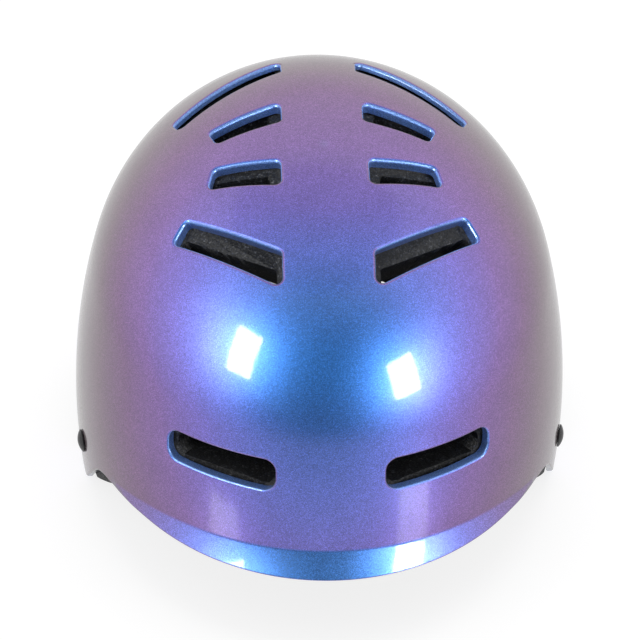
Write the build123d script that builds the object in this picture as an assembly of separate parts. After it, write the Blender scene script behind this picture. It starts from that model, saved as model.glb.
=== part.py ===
from build123d import *
import math
import os

# Skateboard helmet standing on its rim. The origin lies on the table under the middle of the helmet,
# Z is up and the brow faces -Y, so that +X is on the right of a viewer who looks at the brow.
# Lengths are in millimetres and angles in degrees; left and right are the viewer's.

# Outer shell: a dome of three arcs, turned about Z and stretched along Y, front and rear by themselves
half_width = 109.0
front_reach = 131.5
rear_reach = 137.6
crown_height = 167.7
widest_height = 34.0
side_radius = 289.0
shoulder_tilt = 80.0
crown_radius_share = 2.1374
shell_wall = 3.2
overrun = 12.0

# Flared brow lip
lip_reach = 137.6
lip_edge_height = 35.4
lip_crease_height = 47.3
lip_crease_tuck = 4.1
lip_edge_tuck = 3.1

# Rim as seen from the side: brow, temple, ear arch, neck skirt. Distances are from the middle of the dome
brow_end = 62.0
brow_end_height = 30.7
brow_end_radius = 15.0
temple_front = 29.0
temple_rear = 8.0
temple_radius = 5.0
ear_front = 10.0
ear_rear = 40.0
ear_height = 30.0
ear_radius = 14.0
skirt_front = 56.0
skirt_radius = 6.0

# Vents: slots of tapered width with a rolled flange inside the shell
long_vent_length = 54.5
crown_vent_length = 31.0
brow_vent_length = 52.7
long_vent_width = 14.4
crown_vent_width = 14.0
brow_vent_width = 14.8
vent_corner_radius = 2.5
brow_vent_corner_radius = 5.5
flange_wall = 1.6
flange_depth = 5.2

# Foam liner
liner_gap = 0.3
liner_side = 22.0
liner_front = 23.0
liner_rear = 24.0
liner_crown = 25.0
liner_brow_height = 37.0
liner_brow_end = 68.0
liner_slope_front = 58.0
liner_slope_height = 23.5
liner_temple_front = 36.0
liner_temple_height = 8.0
liner_ear_setback = 4.0
liner_corner_radius = 3.0
foam_ledge = 1.5

# Comfort pads
pad_gap = 1.5
pad_thickness = 7.0
pad_edge = 2.4
brow_pad_low = 45.0
brow_pad_high = 73.0
side_pad_low = 50.0
side_pad_high = 86.0
nape_pad_low = 22.0
nape_pad_high = 52.0
crown_pad_half_width = 18.0
crown_pad_half_length = 46.0
dot_radius = 6.0
dot_thickness = 0.9

# Shares of place, width and fullness toward a pad's end and beside a channel, and where channels lie
pad_end_shares = ((1.0, 0.5, 0.15), (0.95, 0.8, 0.55), (0.85, 0.96, 0.9))
pad_channel_shares = ((0.03, 0.98, 0.3), (0.08, 1.0, 0.95))
brow_channel_shares = (-0.35, 0.35)
middle_channel_shares = (0.0,)
crown_channel_shares = (-0.3, 0.3)
field_share = 0.13

# Turns in degrees from the middle of each pad to its end, and to its hook dots
brow_pad_spread = 48.0
side_pad_spread = 25.0
nape_pad_spread = 40.0
brow_dot_turn = 30.0
side_dot_turn = 13.0
nape_dot_turn = 20.0
crown_dot_tilt = 78.0

# Webbing and its anchors
strap_width = 15.0
strap_thickness = 1.5
layer_gap = 0.2
floor_gap = 0.35
front_anchor = 29.0
front_anchor_height = 23.5
rear_anchor = 78.0
rear_anchor_height = 24.0
anchor_inset = 2.6
fold_radius = 3.0
strap_end = 9.0
pocket_clearance = 0.5
steepest_lean = 60.0

# Rivets
rivet_head_radius = 5.1
rivet_head_height = 2.2
head_rim_share = 0.25
rivet_shank_radius = 2.3
rivet_hole_radius = 2.5
rivet_tail_radius = 3.4
rivet_tail_height = 1.2
washer_radius = 5.5
washer_thickness = 1.0
seat_gap = 0.15

# Strap dividers
divider_thickness = 2.4
divider_bar = 3.0
divider_slot = 3.2
divider_slot_clearance = 0.6
divider_rail = 2.6
divider_leg_reach = 12.5
divider_chin_reach = 8.0
divider_corner_radius = 2.5
divider_along = 25.104

# Loops of webbing round a bar
loop_gap = 0.25
drop_angle = 50.0
drop_radius = 2.5
leg_tail = 9.0

# Side-release buckle, its length along X
buckle_height = 45.0
buckle_half_width = 11.0
buckle_end = 21.0
buckle_bar = 3.0
buckle_bar_thickness = 2.4
buckle_rail = 2.4
socket_thickness = 8.0
socket_body_end = 13.5
socket_mouth = 7.0
socket_floor = 9.0
cavity_half_width = 8.9
cavity_thickness = 4.4
window_near = 1.4
window_far = 6.6
plug_gap = 0.4
plug_block_end = 13.5
plug_thickness = 7.0
tongue_half_width = 2.2
tongue_reach = 7.5
blade_thickness = 3.6
arm_offset = 7.1
arm_thickness = 2.0
arm_tip = 6.2
barb_rise = 2.8
barb_near = 1.8
barb_far = 3.2
knuckle_radius = 1.9
knuckle_place = 10.2
knuckle_clearance = 0.12
swing_clearance = 0.8
edge_radius = 0.8

# Chin strap run and its keeper
rise_radius = 4.0
rise_room = 15.955
top_radius = 5.0
chin_tail = 6.0
socket_tail = 4.0
plug_tail = 24.0
keeper_wall = 1.4
keeper_length = 6.0
keeper_clearance = 0.35
keeper_height = 25.0


def upper_radii(side, radius, crown, tilt):
    """Radii of the shoulder and crown arcs above a side arc that ends at a tilt."""
    low, high = math.radians(tilt), math.radians(shoulder_tilt)
    # the crown arc is centred on the axis and reaches the crown: two linear equations
    a, b = math.cos(high) - math.cos(low), -math.cos(high)
    c, d = math.sin(high) - math.sin(low), 1 - math.sin(high)
    right = -(side - radius) - radius * math.cos(low)
    top = crown - widest_height - radius * math.sin(low)
    whole = a * d - b * c
    return (right * d - b * top) / whole, (a * top - c * right) / whole


def fitting_tilt():
    """Tilt at the top of the side arc that gives the crown arc its share of the shoulder arc's radius."""
    low, high = 0.0, shoulder_tilt / 2
    for _ in range(50):
        middle = (low + high) / 2
        shoulder, crown = upper_radii(half_width, side_radius, crown_height, middle)
        if crown < crown_radius_share * shoulder:
            low = middle
        else:
            high = middle
    return low


side_tilt = fitting_tilt()


def unit(azimuth, stretch):
    """Plan direction of a dome azimuth, where 0 is the brow and 90 the helmet's +X side."""
    turn = math.radians(azimuth)
    return Vector(math.sin(turn), -stretch * math.cos(turn), 0)


class Dome:
    """A dome of side, shoulder and crown arcs that meet in tangents."""

    def __init__(self, side, front, rear, crown, radius):
        self.side = side
        self.front_stretch = front / side
        self.rear_stretch = rear / side
        self.crown = crown
        low, high = math.radians(side_tilt), math.radians(shoulder_tilt)
        shoulder, crown_radius = upper_radii(side, radius, crown, side_tilt)
        self.radii = (radius, shoulder, crown_radius)
        first = Vector(side - radius, 0, widest_height)
        second = first + (radius - shoulder) * Vector(math.cos(low), 0, math.sin(low))
        third = second + (shoulder - crown_radius) * Vector(math.cos(high), 0, math.sin(high))
        self.centres = (first, second, third)

    def inset(self, depth):
        """The same dome, smaller by an even depth."""
        side = self.side - depth
        front = self.side * self.front_stretch - depth
        rear = self.side * self.rear_stretch - depth
        return Dome(side, front, rear, self.crown - depth, self.radii[0] - depth)

    def profile(self, tilt):
        """Point of the +X profile whose outward normal rises by tilt."""
        if tilt < side_tilt:
            centre, radius = self.centres[0], self.radii[0]
        elif tilt < shoulder_tilt:
            centre, radius = self.centres[1], self.radii[1]
        else:
            centre, radius = self.centres[2], self.radii[2]
        turn = math.radians(tilt)
        return centre + radius * Vector(math.cos(turn), 0, math.sin(turn))

    def tilt_at(self, height):
        """Tilt of the profile's normal at a height."""
        for index, limit in enumerate((side_tilt, shoulder_tilt, 90.0)):
            rise = (height - self.centres[index].Z) / self.radii[index]
            tilt = math.degrees(math.asin(max(-1.0, min(1.0, rise))))
            if tilt <= limit:
                return tilt
        return 90.0

    def stretch(self, azimuth):
        return self.front_stretch if math.cos(math.radians(azimuth)) > 0 else self.rear_stretch

    def point(self, azimuth, tilt):
        """Point of the dome at an azimuth and a profile tilt."""
        spot = self.profile(tilt)
        return unit(azimuth, self.stretch(azimuth)) * spot.X + Vector(0, 0, spot.Z)

    def normal(self, azimuth, tilt):
        turn, rise = math.radians(azimuth), math.radians(tilt)
        flat = math.cos(rise)
        across = flat * math.sin(turn)
        along = -flat * math.cos(turn) / self.stretch(azimuth)
        return Vector(across, along, math.sin(rise)).normalized()

    def at(self, angle, height):
        """Point of the dome in the upright plane at a true plan angle from the brow."""
        turn = math.radians(angle)
        across, along = math.sin(turn), -math.cos(turn)
        reach = self.profile(self.tilt_at(height)).X / math.hypot(across, along / self.stretch(angle))
        return Vector(across * reach, along * reach, height)

    def azimuth_at(self, along, height):
        """Azimuth of the +X side where the wall stands at a distance along Y, at a height."""
        radius = self.profile(self.tilt_at(height)).X
        share = -along / (radius * (self.front_stretch if along < 0 else self.rear_stretch))
        return math.degrees(math.acos(share))

    def height_over(self, across, along):
        """Height of the dome over a place near its crown."""
        stretch = self.front_stretch if along < 0 else self.rear_stretch
        reach = math.hypot(across, along / stretch)
        for centre, radius, limit in zip(self.centres[::-1], self.radii[::-1], (shoulder_tilt, side_tilt, -90.0)):
            share = (reach - centre.X) / radius
            if share <= math.cos(math.radians(limit)) or limit < 0:
                return centre.Z + radius * math.sqrt(1 - share * share)

    def solid(self):
        """The dome as one solid, down to an overrun below the table."""
        drop = math.degrees(math.asin((widest_height + overrun) / self.radii[0]))
        low, waist = self.profile(-drop), self.profile(0)
        shoulder, crown = self.profile(side_tilt), self.profile(shoulder_tilt)
        top = Vector(0, 0, self.crown)
        base = Vector(0, 0, low.Z)
        curve = [
            Line(base, low),
            ThreePointArc(low, waist, shoulder),
            ThreePointArc(shoulder, self.profile((side_tilt + shoulder_tilt) / 2), crown),
            ThreePointArc(crown, self.profile((shoulder_tilt + 90.0) / 2), top),
            Line(top, base),
        ]
        quarter = revolve(make_face(curve), axis=Axis.Z, revolution_arc=90)
        rear = scale(quarter, by=(1, self.rear_stretch, 1))
        front = scale(mirror(quarter, about=Plane.XZ), by=(1, self.front_stretch, 1))
        right = rear + front
        return (right + mirror(right, about=Plane.YZ)).solid()


outer_dome = Dome(half_width, front_reach, rear_reach, crown_height, side_radius)
inner_dome = outer_dome.inset(shell_wall)
liner_dome = inner_dome.inset(liner_gap)
head_dome = Dome(
    liner_dome.side - liner_side,
    liner_dome.side * liner_dome.front_stretch - liner_front,
    liner_dome.side * liner_dome.rear_stretch - liner_rear,
    liner_dome.crown - liner_crown,
    liner_dome.radii[0] - liner_side,
)

# Vent rows: azimuth and tilt place the middle of a slot on the dome, heading turns it as seen from above,
# and the slants say how far the front corner of each end runs out beyond the rear corner, in widths.
front_vents = (
    dict(azimuth=27.2, tilt=9.5, heading=31.2, length=brow_vent_length, inner=brow_vent_width,
         outer_share=0.95, inner_slant_share=0.05, outer_slant_share=0.0, corner=brow_vent_corner_radius),
    dict(azimuth=43.8, tilt=55.5, heading=37.8, length=long_vent_length, inner=long_vent_width,
         outer_share=0.79, inner_slant_share=0.59, outer_slant_share=0.0, corner=vent_corner_radius),
    dict(azimuth=69.7, tilt=73.6, heading=7.0, length=crown_vent_length, inner=crown_vent_width,
         outer_share=0.77, inner_slant_share=0.1, outer_slant_share=0.11, corner=vent_corner_radius),
    dict(azimuth=115.7, tilt=73.8, heading=-21.1, length=crown_vent_length, inner=crown_vent_width,
         outer_share=0.77, inner_slant_share=-0.33, outer_slant_share=0.0, corner=vent_corner_radius),
    dict(azimuth=136.8, tilt=55.6, heading=-37.5, length=long_vent_length, inner=long_vent_width,
         outer_share=0.75, inner_slant_share=-0.58, outer_slant_share=-0.1, corner=vent_corner_radius),
    dict(azimuth=152.8, tilt=9.5, heading=-31.2, length=brow_vent_length, inner=brow_vent_width,
         outer_share=0.95, inner_slant_share=-0.05, outer_slant_share=0.0, corner=brow_vent_corner_radius),
)


def vent_plane(vent):
    """Plane on the dome at the middle of a vent, X out along the slot and Y to the rear."""
    spot = outer_dome.point(vent["azimuth"], vent["tilt"])
    normal = outer_dome.normal(vent["azimuth"], vent["tilt"])
    turn = math.radians(vent["heading"])
    flat = Vector(math.cos(turn), math.sin(turn), 0)
    along = Vector(flat.X, flat.Y, -flat.dot(normal) / normal.Z)
    return Plane(origin=spot, x_dir=along.normalized(), z_dir=normal)


def vent_prism(vent, growth, depth):
    """A vent's outline, grown outwards, as a prism from outside the shell to a depth."""
    half = vent["length"] / 2
    inner, outer = vent["inner"] / 2, vent["inner"] * vent["outer_share"] / 2
    lean_in, lean_out = vent["inner"] * vent["inner_slant_share"] / 2, vent["inner"] * vent["outer_slant_share"] / 2
    corners = (
        (-half + lean_in, inner),
        (-half - lean_in, -inner),
        (half + lean_out, -outer),
        (half - lean_out, outer),
    )
    outline = make_face(Polyline(*corners, close=True))
    outline = fillet(outline.vertices(), vent["corner"])
    if growth:
        outline = offset(outline, amount=growth)
    side = vent_plane(vent) * extrude(outline, amount=-depth)
    side += vent_plane(vent) * extrude(outline, amount=overrun)
    return side


def rim_cut(outline):
    """Everything below a side-view outline of (along Y, height, corner radius)."""
    face = make_face(Polyline(*[(along, height) for along, height, corner in outline], close=True))
    for along, height, corner in outline:
        if corner:
            nearest = min(face.vertices(), key=lambda v: math.hypot(v.X - along, v.Y - height))
            face = fillet(nearest, corner)
    side = Plane(origin=(-half_width - overrun, 0, 0), x_dir=(0, 1, 0), z_dir=(1, 0, 0))
    return side * extrude(face, amount=2 * (half_width + overrun))


def shell_rim():
    """Space under the shell's rim."""
    slope = (lip_edge_height - brow_end_height) / (lip_reach - brow_end)
    nose = 2 * lip_reach
    nose_height = lip_edge_height + slope * lip_reach
    tail = rear_reach + overrun
    return rim_cut((
        (-nose, nose_height, 0),
        (-brow_end, brow_end_height, brow_end_radius),
        (-temple_front, 0, temple_radius),
        (-temple_rear, 0, temple_radius),
        (ear_front, ear_height, ear_radius),
        (ear_rear, ear_height, ear_radius),
        (skirt_front, 0, skirt_radius),
        (tail, 0, 0),
        (tail, -2 * overrun, 0),
        (-nose, -2 * overrun, 0),
    ))


def liner_rim():
    """Space under the liner's rim, which peeps out under the shell at the temples."""
    nose = lip_reach + overrun
    tail = rear_reach + overrun
    lift = liner_temple_height
    return rim_cut((
        (-nose, liner_brow_height, 0),
        (-liner_brow_end, liner_brow_height, liner_corner_radius),
        (-liner_slope_front, liner_slope_height, 0),
        (-liner_temple_front, lift, liner_corner_radius),
        (-temple_rear - liner_ear_setback, lift, liner_corner_radius),
        (ear_front - liner_ear_setback, ear_height + liner_ear_setback, ear_radius),
        (ear_rear + liner_ear_setback, ear_height + liner_ear_setback, ear_radius),
        (skirt_front + liner_ear_setback, lift, liner_corner_radius),
        (tail, lift, 0),
        (tail, -2 * overrun, 0),
        (-nose, -2 * overrun, 0),
    ))


def lip(wall):
    """The flared lip as an oval cone over the front half, less a wall all round."""
    top_front = outer_dome.profile(outer_dome.tilt_at(lip_crease_height)).X * outer_dome.front_stretch
    drop = lip_crease_height - lip_edge_height
    ovals = []
    for height in (lip_crease_height + overrun, lip_edge_height - overrun):
        share = (lip_crease_height - height) / drop
        front = top_front + (lip_reach - top_front) * share
        side = half_width - lip_crease_tuck + (lip_crease_tuck - lip_edge_tuck) * share
        ovals.append(Plane.XY.offset(height) * Ellipse(side - wall, front - wall))
    return split(loft(ovals, ruled=True), bisect_by=Plane.XZ, keep=Keep.TOP)


class Anchor:
    """A rivet place on the +X side and the lie of the webbing that hangs from it."""

    def __init__(self, along, height, lean, forward):
        tilt = outer_dome.tilt_at(height)
        azimuth = outer_dome.azimuth_at(along, height)
        self.spot = outer_dome.point(azimuth, tilt)
        self.normal = outer_dome.normal(azimuth, tilt)
        rearward = Vector(0, 0, 1).cross(self.normal).normalized()
        self.rim = -rearward if forward else rearward
        down = rearward.cross(self.normal)
        turn = math.radians(lean)
        self.down = down * math.cos(turn) + self.rim * math.sin(turn)
        self.webbing = self.spot - self.normal * (shell_wall + anchor_inset + strap_thickness / 2)


class Webbing:
    """A flat strap laid down as a walk of straight runs and turns, then lofted through its sections."""

    def __init__(self, spot, direction, normal):
        self.spot, self.direction, self.normal = spot, direction.normalized(), normal.normalized()
        self.sections = []
        self.mark(self.across())

    def across(self):
        return self.normal.cross(self.direction) * (strap_width / 2)

    def mark(self, half):
        """Keep the section here, its width along half to both sides."""
        self.sections.append((self.spot, half, self.normal * (strap_thickness / 2)))

    def straight(self, length, marked=True):
        self.spot += self.direction * length
        if marked:
            self.mark(self.across())

    def turn(self, radius, angle, side, steps=4):
        """Curve toward the normal's side (1) or away from it (-1)."""
        axis = self.direction.cross(self.normal) * side
        self.fold(radius, angle, axis, steps)

    def fold(self, radius, angle, axis, steps):
        """Curve about an axis, which may lie oblique to the strap."""
        along = self.direction.dot(axis)
        flat = self.direction - axis * along
        centre = self.spot + axis.cross(flat).normalized() * radius
        half = axis * (strap_width / 2 / flat.length)
        half = half if half.dot(self.across()) > 0 else -half
        if abs(along) > math.sin(math.radians(1)):
            self.mark(half)
        line = Axis((0, 0, 0), axis)
        step = angle / steps
        shift = axis * (radius * math.radians(step) * along / flat.length)
        for _ in range(steps):
            arm = (self.spot - centre).rotate(line, step)
            centre += shift
            self.spot = centre + arm
            self.direction = self.direction.rotate(line, step)
            self.normal = self.normal.rotate(line, step)
            self.mark(half)

    def loop(self, side, bar, bar_thickness):
        """Turn back round a bar and drop onto the strap again."""
        radius = (bar_thickness + strap_thickness) / 2 + loop_gap
        self.turn(radius, 180, side, 8)
        self.straight(bar)
        drop = 2 * radius - strap_thickness - layer_gap - 2 * drop_radius * (1 - math.cos(math.radians(drop_angle)))
        self.turn(drop_radius, drop_angle, side)
        self.straight(drop / math.sin(math.radians(drop_angle)))
        self.turn(drop_radius, drop_angle, -side)

    def joined(self, other):
        """The sections of this walk backwards and then of a walk that starts at the same place."""
        back = [(spot, -half, rise) for spot, half, rise in self.sections[:0:-1]]
        other.sections = back + other.sections
        return other

    def solid(self):
        faces = []
        for spot, half, rise in self.sections:
            corners = (half + rise, rise - half, -half - rise, half - rise)
            faces.append(make_face(Polyline(*[spot + corner for corner in corners], close=True)))
        return loft(faces, ruled=True)


def drop_length(bar_thickness):
    """Length along the strap that a loop needs to drop onto it."""
    turn = math.radians(drop_angle)
    radius = (bar_thickness + strap_thickness) / 2 + loop_gap
    drop = 2 * radius - strap_thickness - layer_gap - 2 * drop_radius * (1 - math.cos(turn))
    return 2 * drop_radius * math.sin(turn) + drop / math.tan(turn)


def hanging_leg(place):
    """Webbing from its folded end at the rivet down to the table, where it turns in under the foam."""
    fold = (strap_thickness + layer_gap) / 2
    start = place.webbing + place.normal * (2 * fold) + place.down * strap_end
    leg = Webbing(start, -place.down, -place.normal)
    leg.straight(2 * strap_end)
    leg.turn(fold, 180, 1)
    radius = fold_radius + strap_thickness / 2
    floor = floor_gap + strap_thickness / 2
    drop = leg.spot.Z - (floor + radius + radius * place.normal.Z)
    leg.straight(drop / -place.down.Z, marked=False)
    axis = place.rim if place.rim.dot(leg.normal.cross(leg.direction)) > 0 else -place.rim
    leg.fold(radius, 90 + math.degrees(math.asin(place.normal.Z)), axis, 6)
    return leg


rise_middle = buckle_end + rise_room
divider_spot = Vector(
    rise_middle + rise_radius + drop_length(divider_thickness) + divider_bar + divider_slot / 2 + divider_chin_reach,
    divider_along,
    0,
)


def aimed_anchor(along, height, forward):
    """Anchor whose webbing leans so far that it runs to the divider once it lies on the table."""
    low, high = 0.0, steepest_lean
    for _ in range(40):
        lean = (low + high) / 2
        anchor = Anchor(along, height, lean, forward)
        leg = hanging_leg(anchor)
        gap = divider_spot - leg.spot
        miss = leg.direction.X * gap.Y - leg.direction.Y * gap.X
        if (miss > 0) == forward:
            low = lean
        else:
            high = lean
    return anchor


front_place = aimed_anchor(-front_anchor, front_anchor_height, False)
rear_place = aimed_anchor(rear_anchor, rear_anchor_height, True)
places = (front_place, rear_place)
divider_middle = floor_gap + strap_thickness + loop_gap + divider_thickness / 2
divider_arms = (
    (-hanging_leg(front_place).direction, divider_leg_reach),
    (-hanging_leg(rear_place).direction, divider_leg_reach),
    (Vector(-1, 0, 0), divider_chin_reach),
)


def rivet_plane(place):
    """Plane on the shell at an anchor, Z outwards."""
    return Plane(origin=place.spot, x_dir=place.rim, z_dir=place.normal)


def make_shell():
    """One moulded skin: dome and lip less a cavity that stands back round every vent."""
    cavity = inner_dome.solid() + lip(shell_wall)
    deep = outer_dome.inset(flange_depth).solid()
    shell = outer_dome.solid() + lip(0)
    for vent in front_vents:
        plug = vent_prism(vent, flange_wall, 3 * flange_depth) - deep
        cavity -= plug
        cavity -= mirror(plug, about=Plane.YZ)
    shell -= cavity
    for vent in front_vents:
        slot = vent_prism(vent, 0, 3 * flange_depth)
        shell -= slot
        shell -= mirror(slot, about=Plane.YZ)
    shell -= shell_rim()
    for place in places:
        hole = rivet_plane(place) * Cylinder(rivet_hole_radius, 4 * shell_wall)
        shell -= hole
        shell -= mirror(hole, about=Plane.YZ)
    return shell


def make_liner():
    """Foam liner: thick dome with pockets for webbing, rivets and flanges, open at every vent."""
    liner = liner_dome.solid() - head_dome.solid()
    deep = outer_dome.inset(flange_depth + liner_gap).solid()
    for vent in front_vents:
        recess = vent_prism(vent, flange_wall + liner_gap, 3 * flange_depth) - deep
        slot = vent_prism(vent, -foam_ledge, 3 * liner_crown)
        for tool in (recess, slot):
            liner -= tool
            liner -= mirror(tool, about=Plane.YZ)
    for place in places:
        tool = strap_pocket(place) + rivet_pocket(place)
        liner -= tool
        liner -= mirror(tool, about=Plane.YZ)
    return liner - liner_rim()


def strap_pocket(place):
    """Space in the foam behind a leg of webbing, from above its fold down past the rim."""
    depth = anchor_inset + strap_thickness + pocket_clearance
    plane = Plane(origin=place.spot - place.normal * shell_wall, x_dir=place.down, z_dir=-place.normal)
    top = strap_end + layer_gap + strap_thickness + pocket_clearance
    length = top + 2 * place.spot.Z
    width = strap_width + 4 * pocket_clearance
    pocket = Box(length, width, depth, align=(Align.MIN, Align.CENTER, Align.MIN))
    return plane * Pos(-top, 0, 0) * pocket


def rivet_pocket(place):
    depth = anchor_inset + strap_thickness + washer_thickness + rivet_tail_height + 4 * pocket_clearance
    plane = Plane(origin=place.spot - place.normal * shell_wall, z_dir=-place.normal)
    pocket = Cylinder(washer_radius + pocket_clearance, depth, align=(Align.CENTER, Align.CENTER, Align.MIN))
    return plane * pocket


def make_leg(place):
    """Right-hand leg with its rivet hole and the loop round the divider's bar."""
    leg = hanging_leg(place)
    leg.straight((divider_spot - leg.spot).length - divider_leg_reach - divider_slot / 2)
    leg.loop(-1, divider_bar, divider_thickness)
    leg.straight(leg_tail)
    hole = rivet_plane(place) * Cylinder(rivet_hole_radius, 4 * (anchor_inset + strap_thickness + shell_wall))
    return leg.solid() - hole


def make_divider():
    """Right-hand divider: a flat three-cornered plate with a slot for each strap."""
    half = strap_width / 2 + divider_slot_clearance
    corners, slots = [], []
    for direction, reach in divider_arms:
        side = Vector(-direction.Y, direction.X, 0)
        edge = direction * (reach + divider_slot / 2 + divider_bar)
        corners += [edge + side * (half + divider_rail), edge - side * (half + divider_rail)]
        plane = Plane(origin=direction * reach, x_dir=direction, z_dir=(0, 0, 1))
        slots.append(plane * Box(divider_slot, 2 * half, 2 * divider_thickness))
    corners.sort(key=lambda spot: math.atan2(spot.Y, spot.X))
    plate = make_face(Polyline(*corners, close=True))
    plate = fillet(plate.vertices(), divider_corner_radius)
    plate = extrude(plate, amount=divider_thickness / 2, both=True)
    plate = chamfer(plate.edges().filter_by(Plane.XY), loop_gap)
    return Pos(divider_spot.X, divider_spot.Y, divider_middle) * (plate - slots)


def make_chin_strap(loose):
    """Right-hand chin strap, from the divider up and over to the buckle's bar."""
    bar_edge = divider_spot.X - divider_chin_reach - divider_slot / 2
    start = Vector(rise_middle, divider_spot.Y, keeper_height)
    floor = floor_gap + strap_thickness / 2
    down = Webbing(start, Vector(0, 0, -1), Vector(1, 0, 0))
    down.straight(start.Z - floor - rise_radius)
    down.turn(rise_radius, 90, 1)
    down.straight(bar_edge - down.spot.X)
    down.loop(1, divider_bar, divider_thickness)
    down.turn(rise_radius - strap_thickness - layer_gap, 90, -1)
    down.straight(chin_tail)
    up = Webbing(start, Vector(0, 0, 1), Vector(1, 0, 0))
    under = buckle_height - (buckle_bar_thickness + strap_thickness) / 2 - loop_gap
    up.straight(under - top_radius - start.Z)
    up.turn(top_radius, 90, -1)
    corner = up.spot.X
    up.straight(corner - (buckle_end - buckle_bar))
    up.loop(1, buckle_bar, buckle_bar_thickness)
    if loose:
        up.straight(corner - up.spot.X)
        up.turn(top_radius + strap_thickness + layer_gap, 90, 1)
        up.straight(plug_tail)
    else:
        up.straight(socket_tail)
    return down.joined(up).solid()


def make_keeper():
    """Loop that holds the loose tail against the rising strap."""
    depth = 2 * strap_thickness + layer_gap + 2 * keeper_clearance
    width = strap_width + 2 * keeper_clearance
    outer = Box(depth + 2 * keeper_wall, width + 2 * keeper_wall, keeper_length)
    outer = fillet(outer.edges(), edge_radius)
    ring = outer - Box(depth, width, 2 * keeper_length)
    middle = rise_middle + (strap_thickness + layer_gap) / 2
    return Pos(middle, divider_spot.Y, keeper_height) * ring


def buckle_place():
    return Pos(0, divider_spot.Y, buckle_height)


def slab(start, end, half, thickness, radius=0.0):
    """Box from start to end along X, centred across."""
    box = Box(end - start, 2 * half, thickness, align=(Align.MIN, Align.CENTER, Align.CENTER))
    if radius:
        box = fillet(box.edges(), radius)
    return Pos(start, 0, 0) * box


def strap_frame(body_end):
    """Frame with a bar for the webbing on the +X end of a buckle half."""
    rail = buckle_half_width - buckle_rail
    frame = slab(body_end - edge_radius, buckle_end, buckle_half_width, buckle_bar_thickness, edge_radius)
    return frame - slab(body_end, buckle_end - buckle_bar, rail, 2 * buckle_bar_thickness)


def make_socket():
    """Buckle half that takes the plug: a closed box with side windows and a strap bar."""
    body = slab(-socket_body_end, socket_mouth, buckle_half_width, socket_thickness, edge_radius)
    body += mirror(strap_frame(socket_body_end), about=Plane.YZ)
    body -= slab(-socket_floor, socket_mouth + overrun, cavity_half_width, cavity_thickness)
    body -= slab(-window_far, -window_near, 2 * buckle_half_width, cavity_thickness)
    return buckle_place() * body


def make_plug():
    """Buckle half that slides in: block, guide tongue and strap bar, with a seat for each latch arm."""
    start = socket_mouth + plug_gap
    plug = slab(start, plug_block_end, buckle_half_width, plug_thickness, edge_radius)
    plug += strap_frame(plug_block_end)
    plug += slab(-tongue_reach, knuckle_place, tongue_half_width, blade_thickness, edge_radius)
    depth = blade_thickness + 2 * knuckle_clearance
    inner = arm_thickness / 2 + swing_clearance
    outer = arm_thickness / 2 + 2 * knuckle_clearance
    length = knuckle_place - start + overrun
    for side in (-1, 1):
        seat = Cylinder(knuckle_radius + knuckle_clearance, depth)
        channel = Box(length, inner + outer, depth, align=(Align.MAX, Align.CENTER, Align.CENTER))
        channel = Pos(0, side * (outer - inner) / 2, 0) * channel
        channel -= Pos(-knuckle_place + start, 0, 0) * slab(-length, 0, buckle_half_width, 2 * depth)
        plug -= Pos(knuckle_place, side * arm_offset, 0) * (seat + channel)
    return buckle_place() * plug


def make_latch_arm(side):
    """Sprung arm with a round root and a barb that catches in the socket's window."""
    half = arm_thickness / 2
    crest = half + barb_rise
    outline = (
        (0, -half),
        (-arm_tip - knuckle_place, -half),
        (-arm_tip - knuckle_place, half),
        (-barb_far - knuckle_place, crest),
        (-barb_near - knuckle_place, crest),
        (-barb_near - knuckle_place, half),
        (0, half),
    )
    face = make_face(Polyline(*[(x, side * y) for x, y in outline], close=True))
    face += Circle(knuckle_radius)
    arm = extrude(face, amount=blade_thickness / 2, both=True)
    return buckle_place() * Pos(knuckle_place, side * arm_offset, 0) * arm


def make_rivets(place):
    """Domed rivet through shell and webbing, with its spread tail."""
    stack = shell_wall + anchor_inset + strap_thickness + 2 * seat_gap + washer_thickness
    low = -stack - seat_gap
    rim = seat_gap + rivet_head_height * head_rim_share
    top = seat_gap + rivet_head_height
    sphere = (rivet_head_radius ** 2 + (top - rim) ** 2) / (2 * (top - rim))
    half = math.asin(rivet_head_radius / sphere) / 2
    middle = (sphere * math.sin(half), top - sphere * (1 - math.cos(half)))
    outline = [
        Line((0, seat_gap), (rivet_head_radius, seat_gap)),
        Line((rivet_head_radius, seat_gap), (rivet_head_radius, rim)),
        ThreePointArc((rivet_head_radius, rim), middle, (0, top)),
        Line((0, top), (0, seat_gap)),
    ]
    head = revolve(Plane.XZ * make_face(outline), axis=Axis.Z)
    shank = Pos(0, 0, low) * Cylinder(rivet_shank_radius, seat_gap - low,
                                      align=(Align.CENTER, Align.CENTER, Align.MIN))
    tail = Pos(0, 0, low) * Cylinder(rivet_tail_radius, rivet_tail_height,
                                     align=(Align.CENTER, Align.CENTER, Align.MAX))
    rivet = rivet_plane(place) * (head + shank + tail)
    return Compound([rivet, mirror(rivet, about=Plane.YZ)])


def make_washers(place):
    depth = shell_wall + anchor_inset + strap_thickness + seat_gap
    washer = Cylinder(washer_radius, washer_thickness) - Cylinder(rivet_hole_radius, 2 * washer_thickness)
    washer = rivet_plane(place) * Pos(0, 0, -depth - washer_thickness / 2) * washer
    return Compound([washer, mirror(washer, about=Plane.YZ)])


def pad_section(angle, low, high, fullness):
    """Upright section of a wall pad at a plan angle; fullness says how far it is crowned."""
    middle = (low + high) / 2
    back, edge = head_dome.inset(pad_gap), head_dome.inset(pad_gap + pad_edge)
    face = head_dome.inset(pad_gap + pad_edge + (pad_thickness - pad_edge) * fullness)
    draw = pad_edge / 2
    foot, top = edge.at(angle, low + draw), edge.at(angle, high - draw)
    outline = [
        ThreePointArc(back.at(angle, low), back.at(angle, middle), back.at(angle, high)),
        Line(back.at(angle, high), top),
        ThreePointArc(top, face.at(angle, middle), foot),
        Line(foot, back.at(angle, low)),
    ]
    return make_face(outline)


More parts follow.
